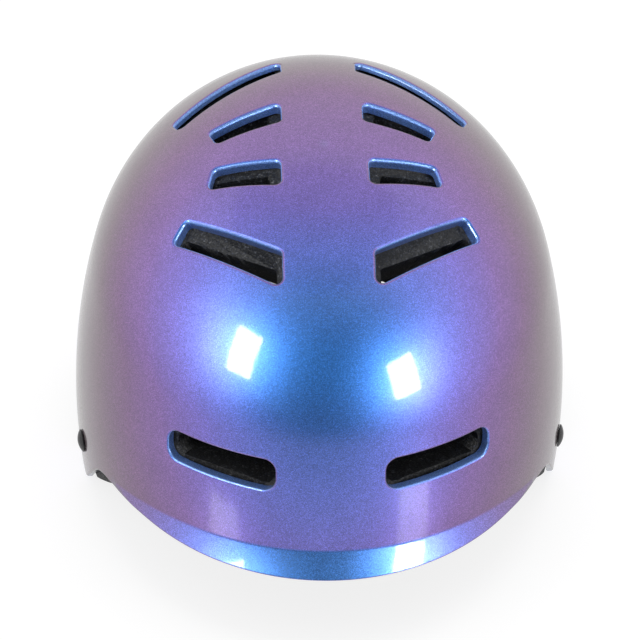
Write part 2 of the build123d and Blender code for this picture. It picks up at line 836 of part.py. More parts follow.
def make_wall_pad(middle, spread, low, high, channels):
    """Cushion round the wall: crowned, drawn in at both ends and pinched at its channels."""
    centre, half = (low + high) / 2, (high - low) / 2
    sections = []
    for place, tall, full in pad_stations(channels):
        sections.append(pad_section(middle + spread * place, centre - half * tall, centre + half * tall, full))
    return loft(sections, ruled=True)


def pad_stations(channels):
    """Places from -1 to 1 along a pad with the share of its width and of its fullness there."""
    stations, edges = [], []
    for place, wide, full in pad_end_shares:
        stations += [(-place, wide, full), (place, wide, full)]
        edges += [-place, place]
    for channel in channels:
        for step, wide, full in pad_channel_shares:
            stations += [(channel - step, wide, full), (channel + step, wide, full)]
            edges += [channel - step, channel + step]
    edges.sort()
    for start, end in zip(edges, edges[1:]):
        fields = round((end - start) / field_share)
        stations += [(start + (end - start) * field / fields, 1.0, 1.0) for field in range(1, fields)]
    return sorted(stations)


def make_crown_pad():
    """Cushion under the crown, long from brow to nape and pinched across at its channels."""
    back = head_dome.inset(pad_gap)
    sections = []
    for place, wide, full in pad_stations(crown_channel_shares):
        along = crown_pad_half_length * place
        half = crown_pad_half_width * wide
        depth = pad_edge + (pad_thickness - pad_edge) * full
        middle = Vector(0, along, back.height_over(0, along))
        right = Vector(half, along, back.height_over(half, along))
        left = Vector(-half, along, right.Z)
        foot_right = right - Vector(pad_edge / 2, 0, pad_edge)
        foot_left = left + Vector(pad_edge / 2, 0, -pad_edge)
        sections.append(make_face([
            ThreePointArc(left, middle, right),
            Line(right, foot_right),
            ThreePointArc(foot_right, middle - Vector(0, 0, depth), foot_left),
            Line(foot_left, left),
        ]))
    return loft(sections, ruled=True)


def hook_dot(azimuth, tilt):
    """Thin disc in the gap between the foam and a pad."""
    middle = head_dome.inset(pad_gap / 2)
    plane = Plane(origin=middle.point(azimuth, tilt), z_dir=middle.normal(azimuth, tilt))
    return plane * Cylinder(dot_radius, dot_thickness)


def make_hook_dots():
    dots = []
    brow = head_dome.tilt_at((brow_pad_low + brow_pad_high) / 2)
    nape = head_dome.tilt_at((nape_pad_low + nape_pad_high) / 2)
    side = head_dome.tilt_at((side_pad_low + side_pad_high) / 2)
    dots += [hook_dot(turn, brow) for turn in (-brow_dot_turn, 0, brow_dot_turn)]
    dots += [hook_dot(180 + turn, nape) for turn in (-nape_dot_turn, nape_dot_turn)]
    for middle in (90, 270):
        dots += [hook_dot(middle + turn, side) for turn in (-side_dot_turn, side_dot_turn)]
    dots += [hook_dot(0, crown_dot_tilt), hook_dot(0, 90), hook_dot(180, crown_dot_tilt)]
    return Compound(dots)


def write(shape, name):
    export_step(shape, os.path.join("parts", name + ".step"))


def mirrored(shape):
    return mirror(shape, about=Plane.YZ)


os.makedirs("parts", exist_ok=True)
write(make_shell(), "outer_shell")
write(make_liner(), "foam_liner")

brow_pad = make_wall_pad(0, brow_pad_spread, brow_pad_low, brow_pad_high, brow_channel_shares)
write(brow_pad, "brow_pad")
nape_pad = make_wall_pad(180, nape_pad_spread, nape_pad_low, nape_pad_high, middle_channel_shares)
write(nape_pad, "nape_pad")
side_pad = make_wall_pad(90, side_pad_spread, side_pad_low, side_pad_high, middle_channel_shares)
write(side_pad, "right_side_pad")
write(mirrored(side_pad), "left_side_pad")
write(make_crown_pad(), "crown_pad")
write(make_hook_dots(), "pad_hook_dots")

for name, place in (("front", front_place), ("rear", rear_place)):
    write(make_rivets(place), name + "_strap_rivets")
    write(make_washers(place), name + "_rivet_washers")
    leg = make_leg(place)
    write(leg, "right_" + name + "_strap")
    write(mirrored(leg), "left_" + name + "_strap")

divider = make_divider()
write(divider, "right_strap_divider")
write(mirrored(divider), "left_strap_divider")
write(make_chin_strap(True), "right_chin_strap")
write(mirrored(make_chin_strap(False)), "left_chin_strap")
write(make_keeper(), "strap_keeper")
write(make_socket(), "buckle_socket")
write(make_plug(), "buckle_plug")
write(make_latch_arm(-1), "front_latch_arm")
write(make_latch_arm(1), "rear_latch_arm")
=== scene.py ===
from math import acos, asin, atan2, cos, degrees, hypot, pi, radians, sin, sqrt, tan
import bpy
import bmesh
import numpy as np
from mathutils import Matrix, Vector, geometry


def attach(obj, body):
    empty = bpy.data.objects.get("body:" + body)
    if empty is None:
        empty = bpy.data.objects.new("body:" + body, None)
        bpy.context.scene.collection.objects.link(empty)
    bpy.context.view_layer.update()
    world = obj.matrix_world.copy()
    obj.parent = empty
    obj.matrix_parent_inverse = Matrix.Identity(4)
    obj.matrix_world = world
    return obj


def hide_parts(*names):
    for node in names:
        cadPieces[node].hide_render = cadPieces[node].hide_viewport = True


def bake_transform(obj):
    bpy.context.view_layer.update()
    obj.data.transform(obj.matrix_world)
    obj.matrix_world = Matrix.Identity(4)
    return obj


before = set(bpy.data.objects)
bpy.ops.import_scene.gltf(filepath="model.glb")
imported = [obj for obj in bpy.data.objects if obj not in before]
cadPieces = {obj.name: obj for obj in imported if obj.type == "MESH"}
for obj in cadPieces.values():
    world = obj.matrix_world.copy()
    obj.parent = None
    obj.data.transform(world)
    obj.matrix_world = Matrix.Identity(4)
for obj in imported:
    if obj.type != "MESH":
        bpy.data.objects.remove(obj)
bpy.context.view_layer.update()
mm = 0.001  # sizes below are in millimetres unless a note says otherwise
rightward, upward = Vector((1, 0, 0)), Vector((0, 0, 1))
print("frame loaded,", len(cadPieces), "pieces")

# Form of the shell: a dome of side, shoulder and crown arcs, stretched along Y
domeForm = {
    "halfWidth": 109.0, "frontReach": 131.5, "rearReach": 137.6, "crownHeight": 167.7,
    "widestHeight": 34.0, "sideRadius": 289.0, "sideTilt": 13.0, "shoulderTilt": 80.0,
}
lipForm = {
    "reach": 139.4, "edgeHeight": 36.9, "creaseHeight": 47.3, "creaseTuck": 4.1, "edgeTuck": 3.1,
    "creaseSoftness": 0.7, "hollow": 0.15, "end": 1.25, "paintedLightFade": 1.2,
}
rimForm = {  # side view: distance along Y, height, corner radius
    "corners": [(-160, 37.9, 0), (-88, 34.4, 150), (-54.6, 29.2, 24), (-26.5, 0, 5), (-8, 0, 5),
                (10, 30, 14), (40, 30, 14), (56, 0, 6), (160, 0, 0)],
    "edgeRadius": 0.9, "edgeSteps": 5, "samples": 720,
}
shellForm = {
    "wall": 3.2, "flangeWall": 1.6, "gridStep": 3.2, "ventStep": 2.5, "creaseStep": 0.7,
    "rimClear": 1.6, "ventClear": 1.5, "creaseClear": 2.2,  # how near the grid comes to each line
}
# turn and tilt place a vent, heading turns it, the rest is its outline and depth
ventParts = ("turn", "tilt", "heading", "length", "width", "outerShare", "innerSlant", "outerSlant",
             "corner", "edge", "flange")
ventForms = [dict(zip(ventParts, row)) for row in (
    (27.5, 9.6, 31.5, 52.8, 15.0, 0.93, 0.05, -0.06, 5.5, 1.0, 5.0),
    (44.1, 58.9, 37.5, 54.4, 14.4, 0.78, 0.59, 0.03, 2.5, 1.8, 6.6),
    (69.7, 76.7, 6.8, 30.7, 14.6, 0.76, 0.1, 0.11, 2.5, 1.8, 5.0),
    (115.6, 76.7, -20.5, 32.0, 12.9, 0.78, -0.35, 0.0, 2.5, 1.8, 5.0),
    (136.7, 59.9, -35.8, 57.5, 13.0, 0.76, -0.56, 0.18, 2.5, 1.8, 3.4),
    (152.5, 9.6, -31.5, 52.8, 15.0, 0.93, -0.05, 0.06, 5.5, 1.0, 5.0),
)]


def makeDome(width, front, rear, crown, sideRadius):
    low, high = radians(domeForm["sideTilt"]), radians(domeForm["shoulderTilt"])
    a, b = cos(high) - cos(low), -cos(high)
    c, d = sin(high) - sin(low), 1 - sin(high)
    across = -(width - sideRadius) - sideRadius * cos(low)
    up = crown - domeForm["widestHeight"] - sideRadius * sin(low)
    shoulder = (across * d - b * up) / (a * d - b * c)
    top = (a * up - c * across) / (a * d - b * c)
    centres = [(width - sideRadius, domeForm["widestHeight"])]
    for change, turn in ((sideRadius - shoulder, low), (shoulder - top, high)):
        x, z = centres[-1]
        centres.append((x + change * cos(turn), z + change * sin(turn)))
    return {"width": width, "crown": crown, "front": front / width, "rear": rear / width,
            "radii": (sideRadius, shoulder, top), "centres": centres, "limits": (low, high)}


def insetDome(dome, depth):
    width = dome["width"]
    return makeDome(width - depth, width * dome["front"] - depth, width * dome["rear"] - depth,
                    dome["crown"] - depth, dome["radii"][0] - depth)


def runOf(dome, tilt):  # distance down the profile from the crown
    low, high = dome["limits"]
    side, shoulder, top = dome["radii"]
    topRun = top * (pi / 2 - np.maximum(tilt, high))
    shoulderRun = shoulder * (high - np.clip(tilt, low, high))
    return topRun + shoulderRun + side * (low - np.minimum(tilt, low))


def tiltOf(dome, run):
    low, high = dome["limits"]
    side, shoulder, top = dome["radii"]
    topEnd = top * (pi / 2 - high)
    shoulderEnd = topEnd + shoulder * (high - low)
    tilt = np.where(run < topEnd, pi / 2 - run / top, high - (run - topEnd) / shoulder)
    return np.where(run > shoulderEnd, low - (run - shoulderEnd) / side, tilt)


def profileAt(dome, tilt):
    low, high = dome["limits"]
    which = np.where(tilt < low, 0, np.where(tilt < high, 1, 2))
    radii = np.array(dome["radii"])[which]
    centres = np.array(dome["centres"])[which]
    return centres[..., 0] + radii * np.cos(tilt), centres[..., 1] + radii * np.sin(tilt)


def heightToTilt(dome, height):
    tilt = np.full(np.shape(height), pi / 2)
    for index, limit in reversed(list(enumerate(dome["limits"] + (pi / 2,)))):
        rise = (height - dome["centres"][index][1]) / dome["radii"][index]
        angle = np.arcsin(np.clip(rise, -1, 1))
        tilt = np.where(angle <= limit + 1e-9, angle, tilt)
    return tilt


def stretchAt(dome, along):
    return np.where(along < 0, dome["front"], dome["rear"])


def unit(vectors):
    return vectors / np.linalg.norm(vectors, axis=-1, keepdims=True)


def domeSpot(dome, turn, tilt):  # places and outward normals
    reach, height = profileAt(dome, tilt)
    stretch = stretchAt(dome, -np.cos(turn))
    spot = np.stack([reach * np.sin(turn), -stretch * reach * np.cos(turn), height], -1)
    across = np.cos(tilt)
    return spot, unit(np.stack([across * np.sin(turn), -across * np.cos(turn) / stretch, np.sin(tilt)], -1))


def domeCoordinates(dome, spot):  # turn, tilt and distance outside the profile
    along = -spot[..., 1] / stretchAt(dome, spot[..., 1])
    turn, reach = np.arctan2(spot[..., 0], along), np.hypot(spot[..., 0], along)
    tilt, out = np.zeros(reach.shape), np.zeros(reach.shape)
    low, high = dome["limits"]
    for index, (start, end) in enumerate(((-9, low), (low, high), (high, 9))):
        x, z = dome["centres"][index]
        angle = np.arctan2(spot[..., 2] - z, reach - x)
        here = (angle >= start) & (angle <= end)
        tilt = np.where(here, angle, tilt)
        out = np.where(here, np.hypot(reach - x, spot[..., 2] - z) - dome["radii"][index], out)
    return turn, tilt, out


def ontoDome(dome, spot, direction):  # slides places along a direction onto the dome
    spot = spot.copy()
    for _ in range(8):
        turn, tilt, out = domeCoordinates(dome, spot)
        normal = domeSpot(dome, turn, tilt)[1]
        spot -= direction * (out / np.maximum((normal * direction).sum(-1), 0.2))[..., None]
    return spot


outerDome = makeDome(domeForm["halfWidth"], domeForm["frontReach"], domeForm["rearReach"],
                     domeForm["crownHeight"], domeForm["sideRadius"])
creaseFront = float(profileAt(outerDome, heightToTilt(outerDome, np.array(lipForm["creaseHeight"])))[0])
creaseFront *= outerDome["front"]


def lipFactor(spot):  # how far the flared lip stands outside the dome, with its normal
    form = lipForm
    drop = form["creaseHeight"] - form["edgeHeight"]
    share = np.clip((form["creaseHeight"] - spot[..., 2]) / drop, -0.2, form["end"])
    flare = share + form["hollow"] * share * (share - 1)
    steepness = np.where(share < form["end"], (1 + form["hollow"] * (2 * share - 1)) / drop, 0)
    frontRise, sideRise = form["reach"] - creaseFront, form["creaseTuck"] - form["edgeTuck"]
    front = creaseFront + frontRise * flare
    side = domeForm["halfWidth"] - form["creaseTuck"] + sideRise * flare
    x, y = spot[..., 0] / side, spot[..., 1] / front
    low = (spot[..., 1] < 0) & (spot[..., 2] < form["creaseHeight"] + 2)
    factor = np.where(low, 1 / np.maximum(np.hypot(x, y), 1e-6), 0)
    x, y = x * factor, np.minimum(y * factor, -1e-9)
    slope = (x * x / side * sideRise + y * y / front * frontRise) * steepness
    return factor, unit(np.stack([x / side, y / front, slope], -1))


def shellSpot(turn, run):  # place and normal on the painted outside
    spot, normal = domeSpot(outerDome, turn, tiltOf(outerDome, run))
    factor, lipNormal = lipFactor(spot)
    flared = factor > 1
    spot[..., :2] *= np.where(flared, factor, 1)[..., None]
    return spot, np.where(flared[..., None], lipNormal, normal)


def roundedPath(corners, step=0.6):  # a polyline with its corners rounded
    spots = [Vector(corner[:2]) for corner in corners]
    path = spots[:1]
    for before, spot, after, corner in zip(spots, spots[1:], spots[2:], corners[1:]):
        back, on = (before - spot).normalized(), (after - spot).normalized()
        path += roundedCorner(spot, back, on, corner[2], step)
    return path + spots[-1:]


def roundedCorner(spot, back, on, radius, step):
    half = back.angle(on) / 2
    middle = spot + (back + on).normalized() * (radius / sin(half))
    start = spot + back * (radius / tan(half)) - middle
    end = spot + on * (radius / tan(half)) - middle
    turn = atan2(start.x * end.y - start.y * end.x, start.dot(end))
    count = max(3, int(abs(turn) * radius / step))
    return [middle + Matrix.Rotation(turn * i / count, 2) @ start for i in range(count + 1)]


def rimLoop(depth, lift):  # the lower edge at a depth in the wall, lifted by a distance
    path = np.array([tuple(p) for p in roundedPath(rimForm["corners"])])
    ahead = unit(np.gradient(path, axis=0))
    path = path + ahead[:, ::-1] * np.array([-lift, lift])
    turns = np.linspace(-pi, pi, rimForm["samples"], endpoint=False) + 1e-4
    low = np.full(turns.shape, -10.0)
    high = np.full(turns.shape, 60.0)
    for _ in range(36):
        middle = (low + high) / 2
        run = runOf(outerDome, heightToTilt(outerDome, middle))
        spot, normal = shellSpot(turns, run)
        spot = spot - normal * depth
        above = spot[:, 2] > np.interp(spot[:, 1], path[:, 0], path[:, 1])
        high = np.where(above, middle, high)
        low = np.where(above, low, middle)
    rise = np.cross(normal, np.roll(spot, -1, 0) - np.roll(spot, 1, 0))
    return spot, normal, unit(rise * np.sign(rise[:, 2:])), flatMap(turns, run)


def ventOutline(vent, growth):  # rounded outline in the vent's own plane and its outward directions
    half, inner = vent["length"] / 2, vent["width"] / 2
    outer = inner * vent["outerShare"]
    slantIn, slantOut = inner * vent["innerSlant"], inner * vent["outerSlant"]
    corners = [Vector(p) for p in ((-half + slantIn, inner), (-half - slantIn, -inner),
                                   (half + slantOut, -outer), (half - slantOut, outer))]
    arcs = []
    for index, corner in enumerate(corners):
        back = (corners[index - 1] - corner).normalized()
        on = (corners[(index + 1) % 4] - corner).normalized()
        arc = roundedCorner(corner, back, on, vent["corner"], vent["corner"] / 5)
        middle = corner + (back + on).normalized() * (vent["corner"] / sin(back.angle(on) / 2))
        arcs.append((arc, [(p - middle).normalized() for p in arc]))
    spots, outward = [], []
    for index, (arc, ways) in enumerate(arcs):  # each corner, then the straight run to the next one
        run = arcs[(index + 1) % 4][0][0] - arc[-1]
        count = max(2, int(run.length / shellForm["ventStep"]))
        spots += arc + [arc[-1] + run * (i / count) for i in range(1, count)]
        outward += ways + [ways[-1]] * (count - 1)
    away = np.array([tuple(p) for p in outward])
    return np.array([tuple(p) for p in spots]) + away * growth, away


def ventAxes(vent, side):
    turn, tilt = radians(vent["turn"]), radians(vent["tilt"])
    spot, normal = domeSpot(outerDome, np.array(turn), np.array(tilt))
    heading = radians(vent["heading"])
    along = np.array([cos(heading), sin(heading), 0])
    along[2] = -along.dot(normal) / normal[2]
    along = unit(along)
    return [part * np.array([side, 1, 1]) for part in (spot, along, np.cross(normal, along), normal)]


def ventRing(vent, side, growth, depth):  # a loop of the vent, at a growth of its outline and a depth
    flat, away = ventOutline(vent, growth)
    middle, along, across, normal = ventAxes(vent, side)
    spots = ontoDome(outerDome, middle + flat[:, :1] * along + flat[:, 1:] * across, normal)
    return spots - normal * depth, away[:, :1] * along + away[:, 1:] * across, normal


def flangeFoot(vent, side):  # where the outside of a vent's flange meets the inside of the shell
    spots, outward, normal = ventRing(vent, side, shellForm["flangeWall"], 0)
    turn, tilt, out = domeCoordinates(outerDome, spots)
    lean = (domeSpot(outerDome, turn, tilt)[1] * normal).sum(-1, keepdims=True)
    return spots - normal * shellForm["wall"] / lean


def insideLoop(places, loop):  # which 2-D places lie inside a closed loop
    inside = np.zeros(len(places), bool)
    x, y = places[:, 0], places[:, 1]
    for (ax, ay), (bx, by) in zip(loop, np.roll(loop, -1, 0)):
        crosses = (ay > y) != (by > y)
        if by != ay:
            inside ^= crosses & (x < (bx - ax) * (y - ay) / (by - ay) + ax)
    return inside


def flatMap(turn, run):
    return np.stack([run * np.sin(turn), -run * np.cos(turn)], -1)


def flatOfSpots(spots):
    turn, tilt, out = domeCoordinates(outerDome, spots)
    return flatMap(turn, runOf(outerDome, tilt))


def faceOutward(mesh):
    form = bmesh.new()
    form.from_mesh(mesh)
    bmesh.ops.recalc_face_normals(form, faces=form.faces)
    form.to_mesh(mesh)
    form.free()


def addObject(name, data):
    made = bpy.data.objects.new(name, data)
    bpy.context.collection.objects.link(made)
    return made


class MeshMaker:  # collects places, normals and faces of one mesh
    def __init__(self):
        self.spots, self.normals, self.faces, self.slots = [], [], [], []

    def add(self, spots, normals):
        start = len(self.spots)
        self.spots += [tuple(p) for p in spots]
        self.normals += [tuple(n) for n in normals]
        return list(range(start, start + len(spots)))

    def band(self, first, second, slot=0):
        for i in range(len(first)):
            k = (i + 1) % len(first)
            self.faces.append((first[i], first[k], second[k], second[i]))
            self.slots.append(slot)

    def cap(self, ring, slot=0):
        self.faces.append(tuple(ring))
        self.slots.append(slot)

    def joinRing(self, previous, spots, normals, slot=0):
        ring = self.add(spots, normals)
        self.band(previous, ring, slot)
        return ring

    def build(self, name):
        mesh = bpy.data.meshes.new(name)
        used = sorted({corner for face in self.faces for corner in face})
        number = {corner: i for i, corner in enumerate(used)}
        faces = [tuple(number[corner] for corner in face) for face in self.faces]
        mesh.from_pydata([Vector(self.spots[corner]) * mm for corner in used], [], faces)
        mesh.polygons.foreach_set("material_index", self.slots)
        faceOutward(mesh)
        mesh.polygons.foreach_set("use_smooth", [True] * len(mesh.polygons))
        mesh.normals_split_custom_set_from_vertices([Vector(self.normals[i]).normalized() for i in used])
        return addObject(name, mesh)


def creaseRuns(turns):  # where the flare begins, as a run for each turn, or nothing
    low = np.full(turns.shape, 20.0)
    high = np.full(turns.shape, 60.0)
    for _ in range(40):
        middle = (low + high) / 2
        spot = domeSpot(outerDome, turns, heightToTilt(outerDome, middle))[0]
        flared = lipFactor(spot)[0] > 1
        low = np.where(flared, middle, low)
        high = np.where(flared, high, middle)
    return runOf(outerDome, heightToTilt(outerDome, low))


def makeShell():
    maker = MeshMaker()
    form, wall, edge, soft = shellForm, shellForm["wall"], rimForm["edgeRadius"], lipForm["creaseSoftness"]
    # the loop that ends the skin is lifted by the edge's radius, so that a rounded edge fits below it
    rimFlat = rimLoop(0, edge)[3]
    # vents: the outline on the surface and the one where the flange meets the inside
    vents = [(vent, side, [flatOfSpots(ventRing(vent, side, growth, 0)[0])
                           for growth in (vent["edge"], form["flangeWall"])])
             for vent in ventForms for side in (1, -1)]
    creaseTurns = np.radians(np.arange(-75, 75.01, form["creaseStep"]))
    crease = creaseRuns(creaseTurns)
    places = dotsOverDome(form["gridStep"], np.linalg.norm(rimFlat, axis=1).max())
    keep = insideLoop(places, rimFlat) & (nearestGap(places, rimFlat) > form["rimClear"])
    for vent, side, pair in vents:
        keep &= ~insideLoop(places, pair[1]) & (nearestGap(places, pair[1]) > form["ventClear"])
    keep &= nearestGap(places, flatMap(creaseTurns, crease), closed=False) > form["creaseClear"]
    extra = []
    for lift in (-soft, soft, -soft - 1.6, soft + 1.6):
        line = flatMap(creaseTurns, crease + lift)
        extra.append(line[insideLoop(line, rimFlat) & (nearestGap(line, rimFlat) > 0.7)])
    # one net of triangles over all of it
    loops = [rimFlat] + [loop for vent, side, pair in vents for loop in pair]
    edges, start = [], 0
    for loop in loops:
        edges += [(start + i, start + (i + 1) % len(loop)) for i in range(len(loop))]
        start += len(loop)
    result = geometry.delaunay_2d_cdt([Vector(p) for p in np.concatenate(loops + [places[keep]] + extra)],
                                      edges, [], 0, 1e-5)
    net = np.array([tuple(p) for p in result[0]])
    place = {source: index for index, sources in enumerate(result[3]) for source in sources}
    faces = np.array([f for f in result[2] if len(f) == 3])
    middle = net[faces].mean(1)
    keep = insideLoop(middle, rimFlat)
    keepInner = keep.copy()
    for vent, side, pair in vents:
        keep &= ~insideLoop(middle, pair[0])
        keepInner &= ~insideLoop(middle, pair[1])
    spots, normals = shellSpot(np.arctan2(net[:, 0], -net[:, 1]), np.hypot(net[:, 0], net[:, 1]))
    inner = spots - normals * wall
    rimIndex = [place[i] for i in range(len(rimFlat))]
    inner[rimIndex] = rimLoop(wall, edge)[0]
    start, ringIndexes = len(rimFlat), []
    for vent, side, pair in vents:
        ringIndexes.append([])
        for loop in pair:
            ringIndexes[-1].append([place[start + i] for i in range(len(loop))])
            start += len(loop)
        inner[ringIndexes[-1][1]] = flangeFoot(vent, side)
    outer = maker.add(spots, normals)
    inside = maker.add(inner, -normals)
    for face in faces[keep]:
        maker.cap(outer[i] for i in face)
    for face in faces[keepInner]:
        maker.cap((inside[i] for i in reversed(face)), 1)
    # rounded lower edge
    previous = [outer[i] for i in rimIndex]
    sections = [(edge * (1 - cos(a)), edge * (1 - sin(a)), cos(a), sin(a))
                for a in quarterTurns(rimForm["edgeSteps"])]
    sections += [(wall - d, h, -n, b) for d, h, n, b in reversed(sections)]
    sections.append((wall - edge * 0.02, edge * 0.8, -1, 0.2))
    for depth, lift, along, down in sections:
        ring, normal, rise, flat = rimLoop(depth, lift)
        previous = maker.joinRing(previous, ring, normal * along - rise * down)
    maker.band(previous, [inside[i] for i in rimIndex])
    # rolled edge, wall and flange of every vent
    for (vent, side, pair), (top, bottom) in zip(vents, ringIndexes):
        radius, deep, collar = vent["edge"], vent["flange"], form["flangeWall"]
        path = [(radius * (1 - sin(a)), radius * (1 - cos(a)), sin(a), cos(a)) for a in quarterTurns(5)]
        path += [(0.0, deep * 0.5, 1, 0), (0.0, deep - 0.5, 1, 0), (0.5, deep, 0.2, -1),
                 (collar - 0.4, deep, -0.2, -1), (collar, deep - 0.4, -1, 0),
                 (collar, min(wall + 0.6, deep - 0.1), -1, 0)]
        previous = [outer[i] for i in top]
        for number, (growth, depth, inward, up) in enumerate(path):
            ring, outward, normal = ventRing(vent, side, growth, depth)
            # the rolled edges and walls of the vents take the third slot, the lighter copy of the paint:
            # painted light in the vents
            slot = 0 if number < 2 else 2 if number < 8 else 1
            previous = maker.joinRing(previous, ring, -outward * inward + normal * up, slot)
        maker.band(previous, [inside[i] for i in bottom], 1)
    piece = maker.build("helmetShell")
    # the flare attribute marks the flared lip for a painted highlight: the paint is made lighter there
    flare = piece.data.attributes.new("flare", "FLOAT", "POINT")
    places = np.array([tuple(vertex.co / mm) for vertex in piece.data.vertices])
    excess = (lipFactor(places)[0] - 1) * np.hypot(places[:, 0], places[:, 1])
    flare.data.foreach_set("value", np.clip(excess / lipForm["paintedLightFade"] + 0.3, 0, 1) * (excess > -0.2))
    return piece


def quarterTurns(steps):
    return [pi / 2 * k / steps for k in range(1, steps + 1)]


def dotsOverDome(step, deepest):  # an even scatter of places on the flattened dome
    places = [(0.0, 0.0)]
    for ring in range(1, int(deepest / step) + 1):
        run = ring * step
        count = max(8, int(2 * pi * run / step * 0.8))
        turn = np.arange(count) / count * 2 * pi + ring * 0.37
        places += [tuple(p) for p in flatMap(turn, np.full(count, run))]
    return np.array(places)


def nearestGap(places, loop, closed=True):  # distance of each place to a loop's corners and middles
    middles = (loop + np.roll(loop, -1, 0)) / 2
    dots = np.concatenate([loop, middles if closed else middles[:-1]])
    gap = np.full(len(places), 1e9)
    for start in range(0, len(dots), 64):
        part = dots[start:start + 64]
        gap = np.minimum(gap, np.linalg.norm(places[:, None] - part[None], axis=2).min(1))
    return gap


def colour(red, green, blue):  # display values of 0 to 255 as a linear colour
    def linear(value):
        value /= 255
        return value / 12.92 if value <= 0.04045 else ((value + 0.055) / 1.055) ** 2.4
    return (linear(red), linear(green), linear(blue), 1.0)


shaderNames = {
    "base": "Base Color", "specular": "Specular IOR Level", "coat": "Coat Weight", "coatIor": "Coat IOR",
    "coatRoughness": "Coat Roughness", "coatNormal": "Coat Normal", "sheen": "Sheen Weight",
    "sheenRoughness": "Sheen Roughness", "glow": "Emission Color", "glowStrength": "Emission Strength",
}


class Nodes:  # builds one node tree; values may be numbers, colours or output sockets
    def __init__(self, tree):
        self.tree = tree

    def put(self, socket, value):
        if isinstance(value, bpy.types.NodeSocket):
            self.tree.links.new(value, socket)
        else:
            socket.default_value = value

    def node(self, kind, output, inputs=None, **settings):  # adds a node and gives one of its outputs
        made = self.tree.nodes.new("ShaderNode" + kind)
        for key, value in settings.items():
            setattr(made, key, value)
        for key, value in (inputs or {}).items():
            self.put(made.inputs[key], value)
        return made.outputs[output]

    def place(self):  # the object's own coordinates
        return self.node("TexCoord", "Object")

    def noise(self, scale, detail):
        return self.node("TexNoise", "Fac", {"Vector": self.place(), "Scale": scale, "Detail": detail})

    def cells(self, scale, output, feature="F1", **inputs):
        inputs = {"Vector": self.place(), "Scale": scale, **inputs}
        return self.node("TexVoronoi", output, inputs, feature=feature)

    def wave(self, place, scale, direction, **inputs):
        inputs = {"Vector": place, "Scale": scale, **inputs}
        return self.node("TexWave", "Fac", inputs, bands_direction=direction)

    def red(self, value):
        return self.node("SeparateColor", "Red", {"Color": value})

    def ramp(self, factor, *stops, mode="LINEAR"):  # each stop is a place, then a level or a display colour
        made = self.node("ValToRGB", "Color", {"Fac": factor})
        elements = made.node.color_ramp.elements
        made.node.color_ramp.interpolation = mode
        while len(elements) < len(stops):
            elements.new(0.5)
        for element, (place, *value) in zip(elements, stops):
            element.position = place
            element.color = colour(*value) if len(value) == 3 else (value[0],) * 3 + (1.0,)
        return made

    def mix(self, factor, first, second, mode="MIX"):  # sockets 6, 7 and 2 are those of a colour
        return self.node("Mix", 2, {0: factor, 6: first, 7: second}, data_type="RGBA", blend_type=mode)

    def times(self, first, second):
        return self.mix(1.0, first, second, "MULTIPLY")

    def maths(self, operation, first, second=0.0):
        return self.node("Math", 0, {0: first, 1: second}, operation=operation)

    def vector(self, operation, first, second=(0, 0, 0), output="Vector"):
        return self.node("VectorMath", output, {0: first, 1: second}, operation=operation)

    def bump(self, height, strength, distance):
        return self.node("Bump", "Normal", {"Height": height, "Strength": strength, "Distance": distance})


class Surface(Nodes):
    def __init__(self, name):
        self.material = bpy.data.materials.new(name)
        self.material.use_nodes = True
        super().__init__(self.material.node_tree)

    def finish(self, **values):
        shader = self.tree.nodes["Principled BSDF"]
        for key, value in values.items():
            self.put(shader.inputs[shaderNames.get(key, key.capitalize())], value)
        return self.material


paintForm = {
    "flakePaint": [(0.0, 47, 114, 194), (0.05, 66, 118, 202), (0.14, 105, 123, 220), (0.25, 125, 113, 204),
                   (0.38, 136, 103, 172), (0.52, 129, 92, 140), (0.68, 112, 82, 106), (0.85, 98, 78, 85),
                   (1.0, 92, 78, 77)],
    # a lighter, less metallic copy of the paint for the vent walls: painted light where the walls lie in
    # shade
    "slotPaint": [(0.0, 128, 170, 246), (0.6, 132, 170, 246), (1.0, 150, 168, 236)],
    "metallic": {"flakePaint": 0.8, "slotPaint": 0.5}, "roughness": 0.4, "coatRoughness": 0.085,
    "coatIor": 1.46, "flakeScale": 3600.0, "flakeGlint": 0.34, "orangePeel": 0.00003,
    # tone and share of the painted highlight that lightens the flared lip
    "lipPaintedLightTone": (150, 190, 245), "lipPaintedLightShare": 0.34,
}


def makePaint(name):  # the colour turns with the angle, as flip paint does
    form, look = paintForm, Surface(name)
    facing = look.node("LayerWeight", "Facing", {"Blend": 0.5})
    # painted highlight: on the flared lip the colour is mixed toward a lighter blue
    lip = look.maths("MULTIPLY", look.node("Attribute", "Fac", attribute_name="flare"), form["lipPaintedLightShare"])
    pearl = look.mix(lip, look.ramp(facing, *form[name]), colour(*form["lipPaintedLightTone"]))
    flake, strength = look.red(look.cells(form["flakeScale"], "Color")), form["flakeGlint"]
    glint = look.ramp(flake, (0.0, 1 - strength), (0.5, 1.0), (0.9, 1 + strength), (1.0, 1 + strength * 2))
    cloud = look.ramp(look.noise(60.0, 3.0), (0.3, 0.95), (0.7, 1.05))
    return look.finish(base=look.times(look.times(pearl, glint), cloud), metallic=form["metallic"][name],
                       roughness=form["roughness"], normal=look.bump(flake, 0.25, 0.00005), coat=1.0,
                       coatRoughness=form["coatRoughness"], coatIor=form["coatIor"],
                       coatNormal=look.bump(look.noise(420.0, 1.0), 0.35, form["orangePeel"]))


def makePlastic(name, dark, light, roughness, grain, wide, bump, **values):  # also the bare metal
    look = Surface(name)
    fine = look.noise(*grain)
    low, high = roughness
    return look.finish(base=look.ramp(look.noise(wide, 2.0), (0.3, *dark), (0.7, *light)),
                       roughness=look.ramp(fine, (0.3, low), (0.7, high)),
                       normal=look.bump(fine, *bump), **values)


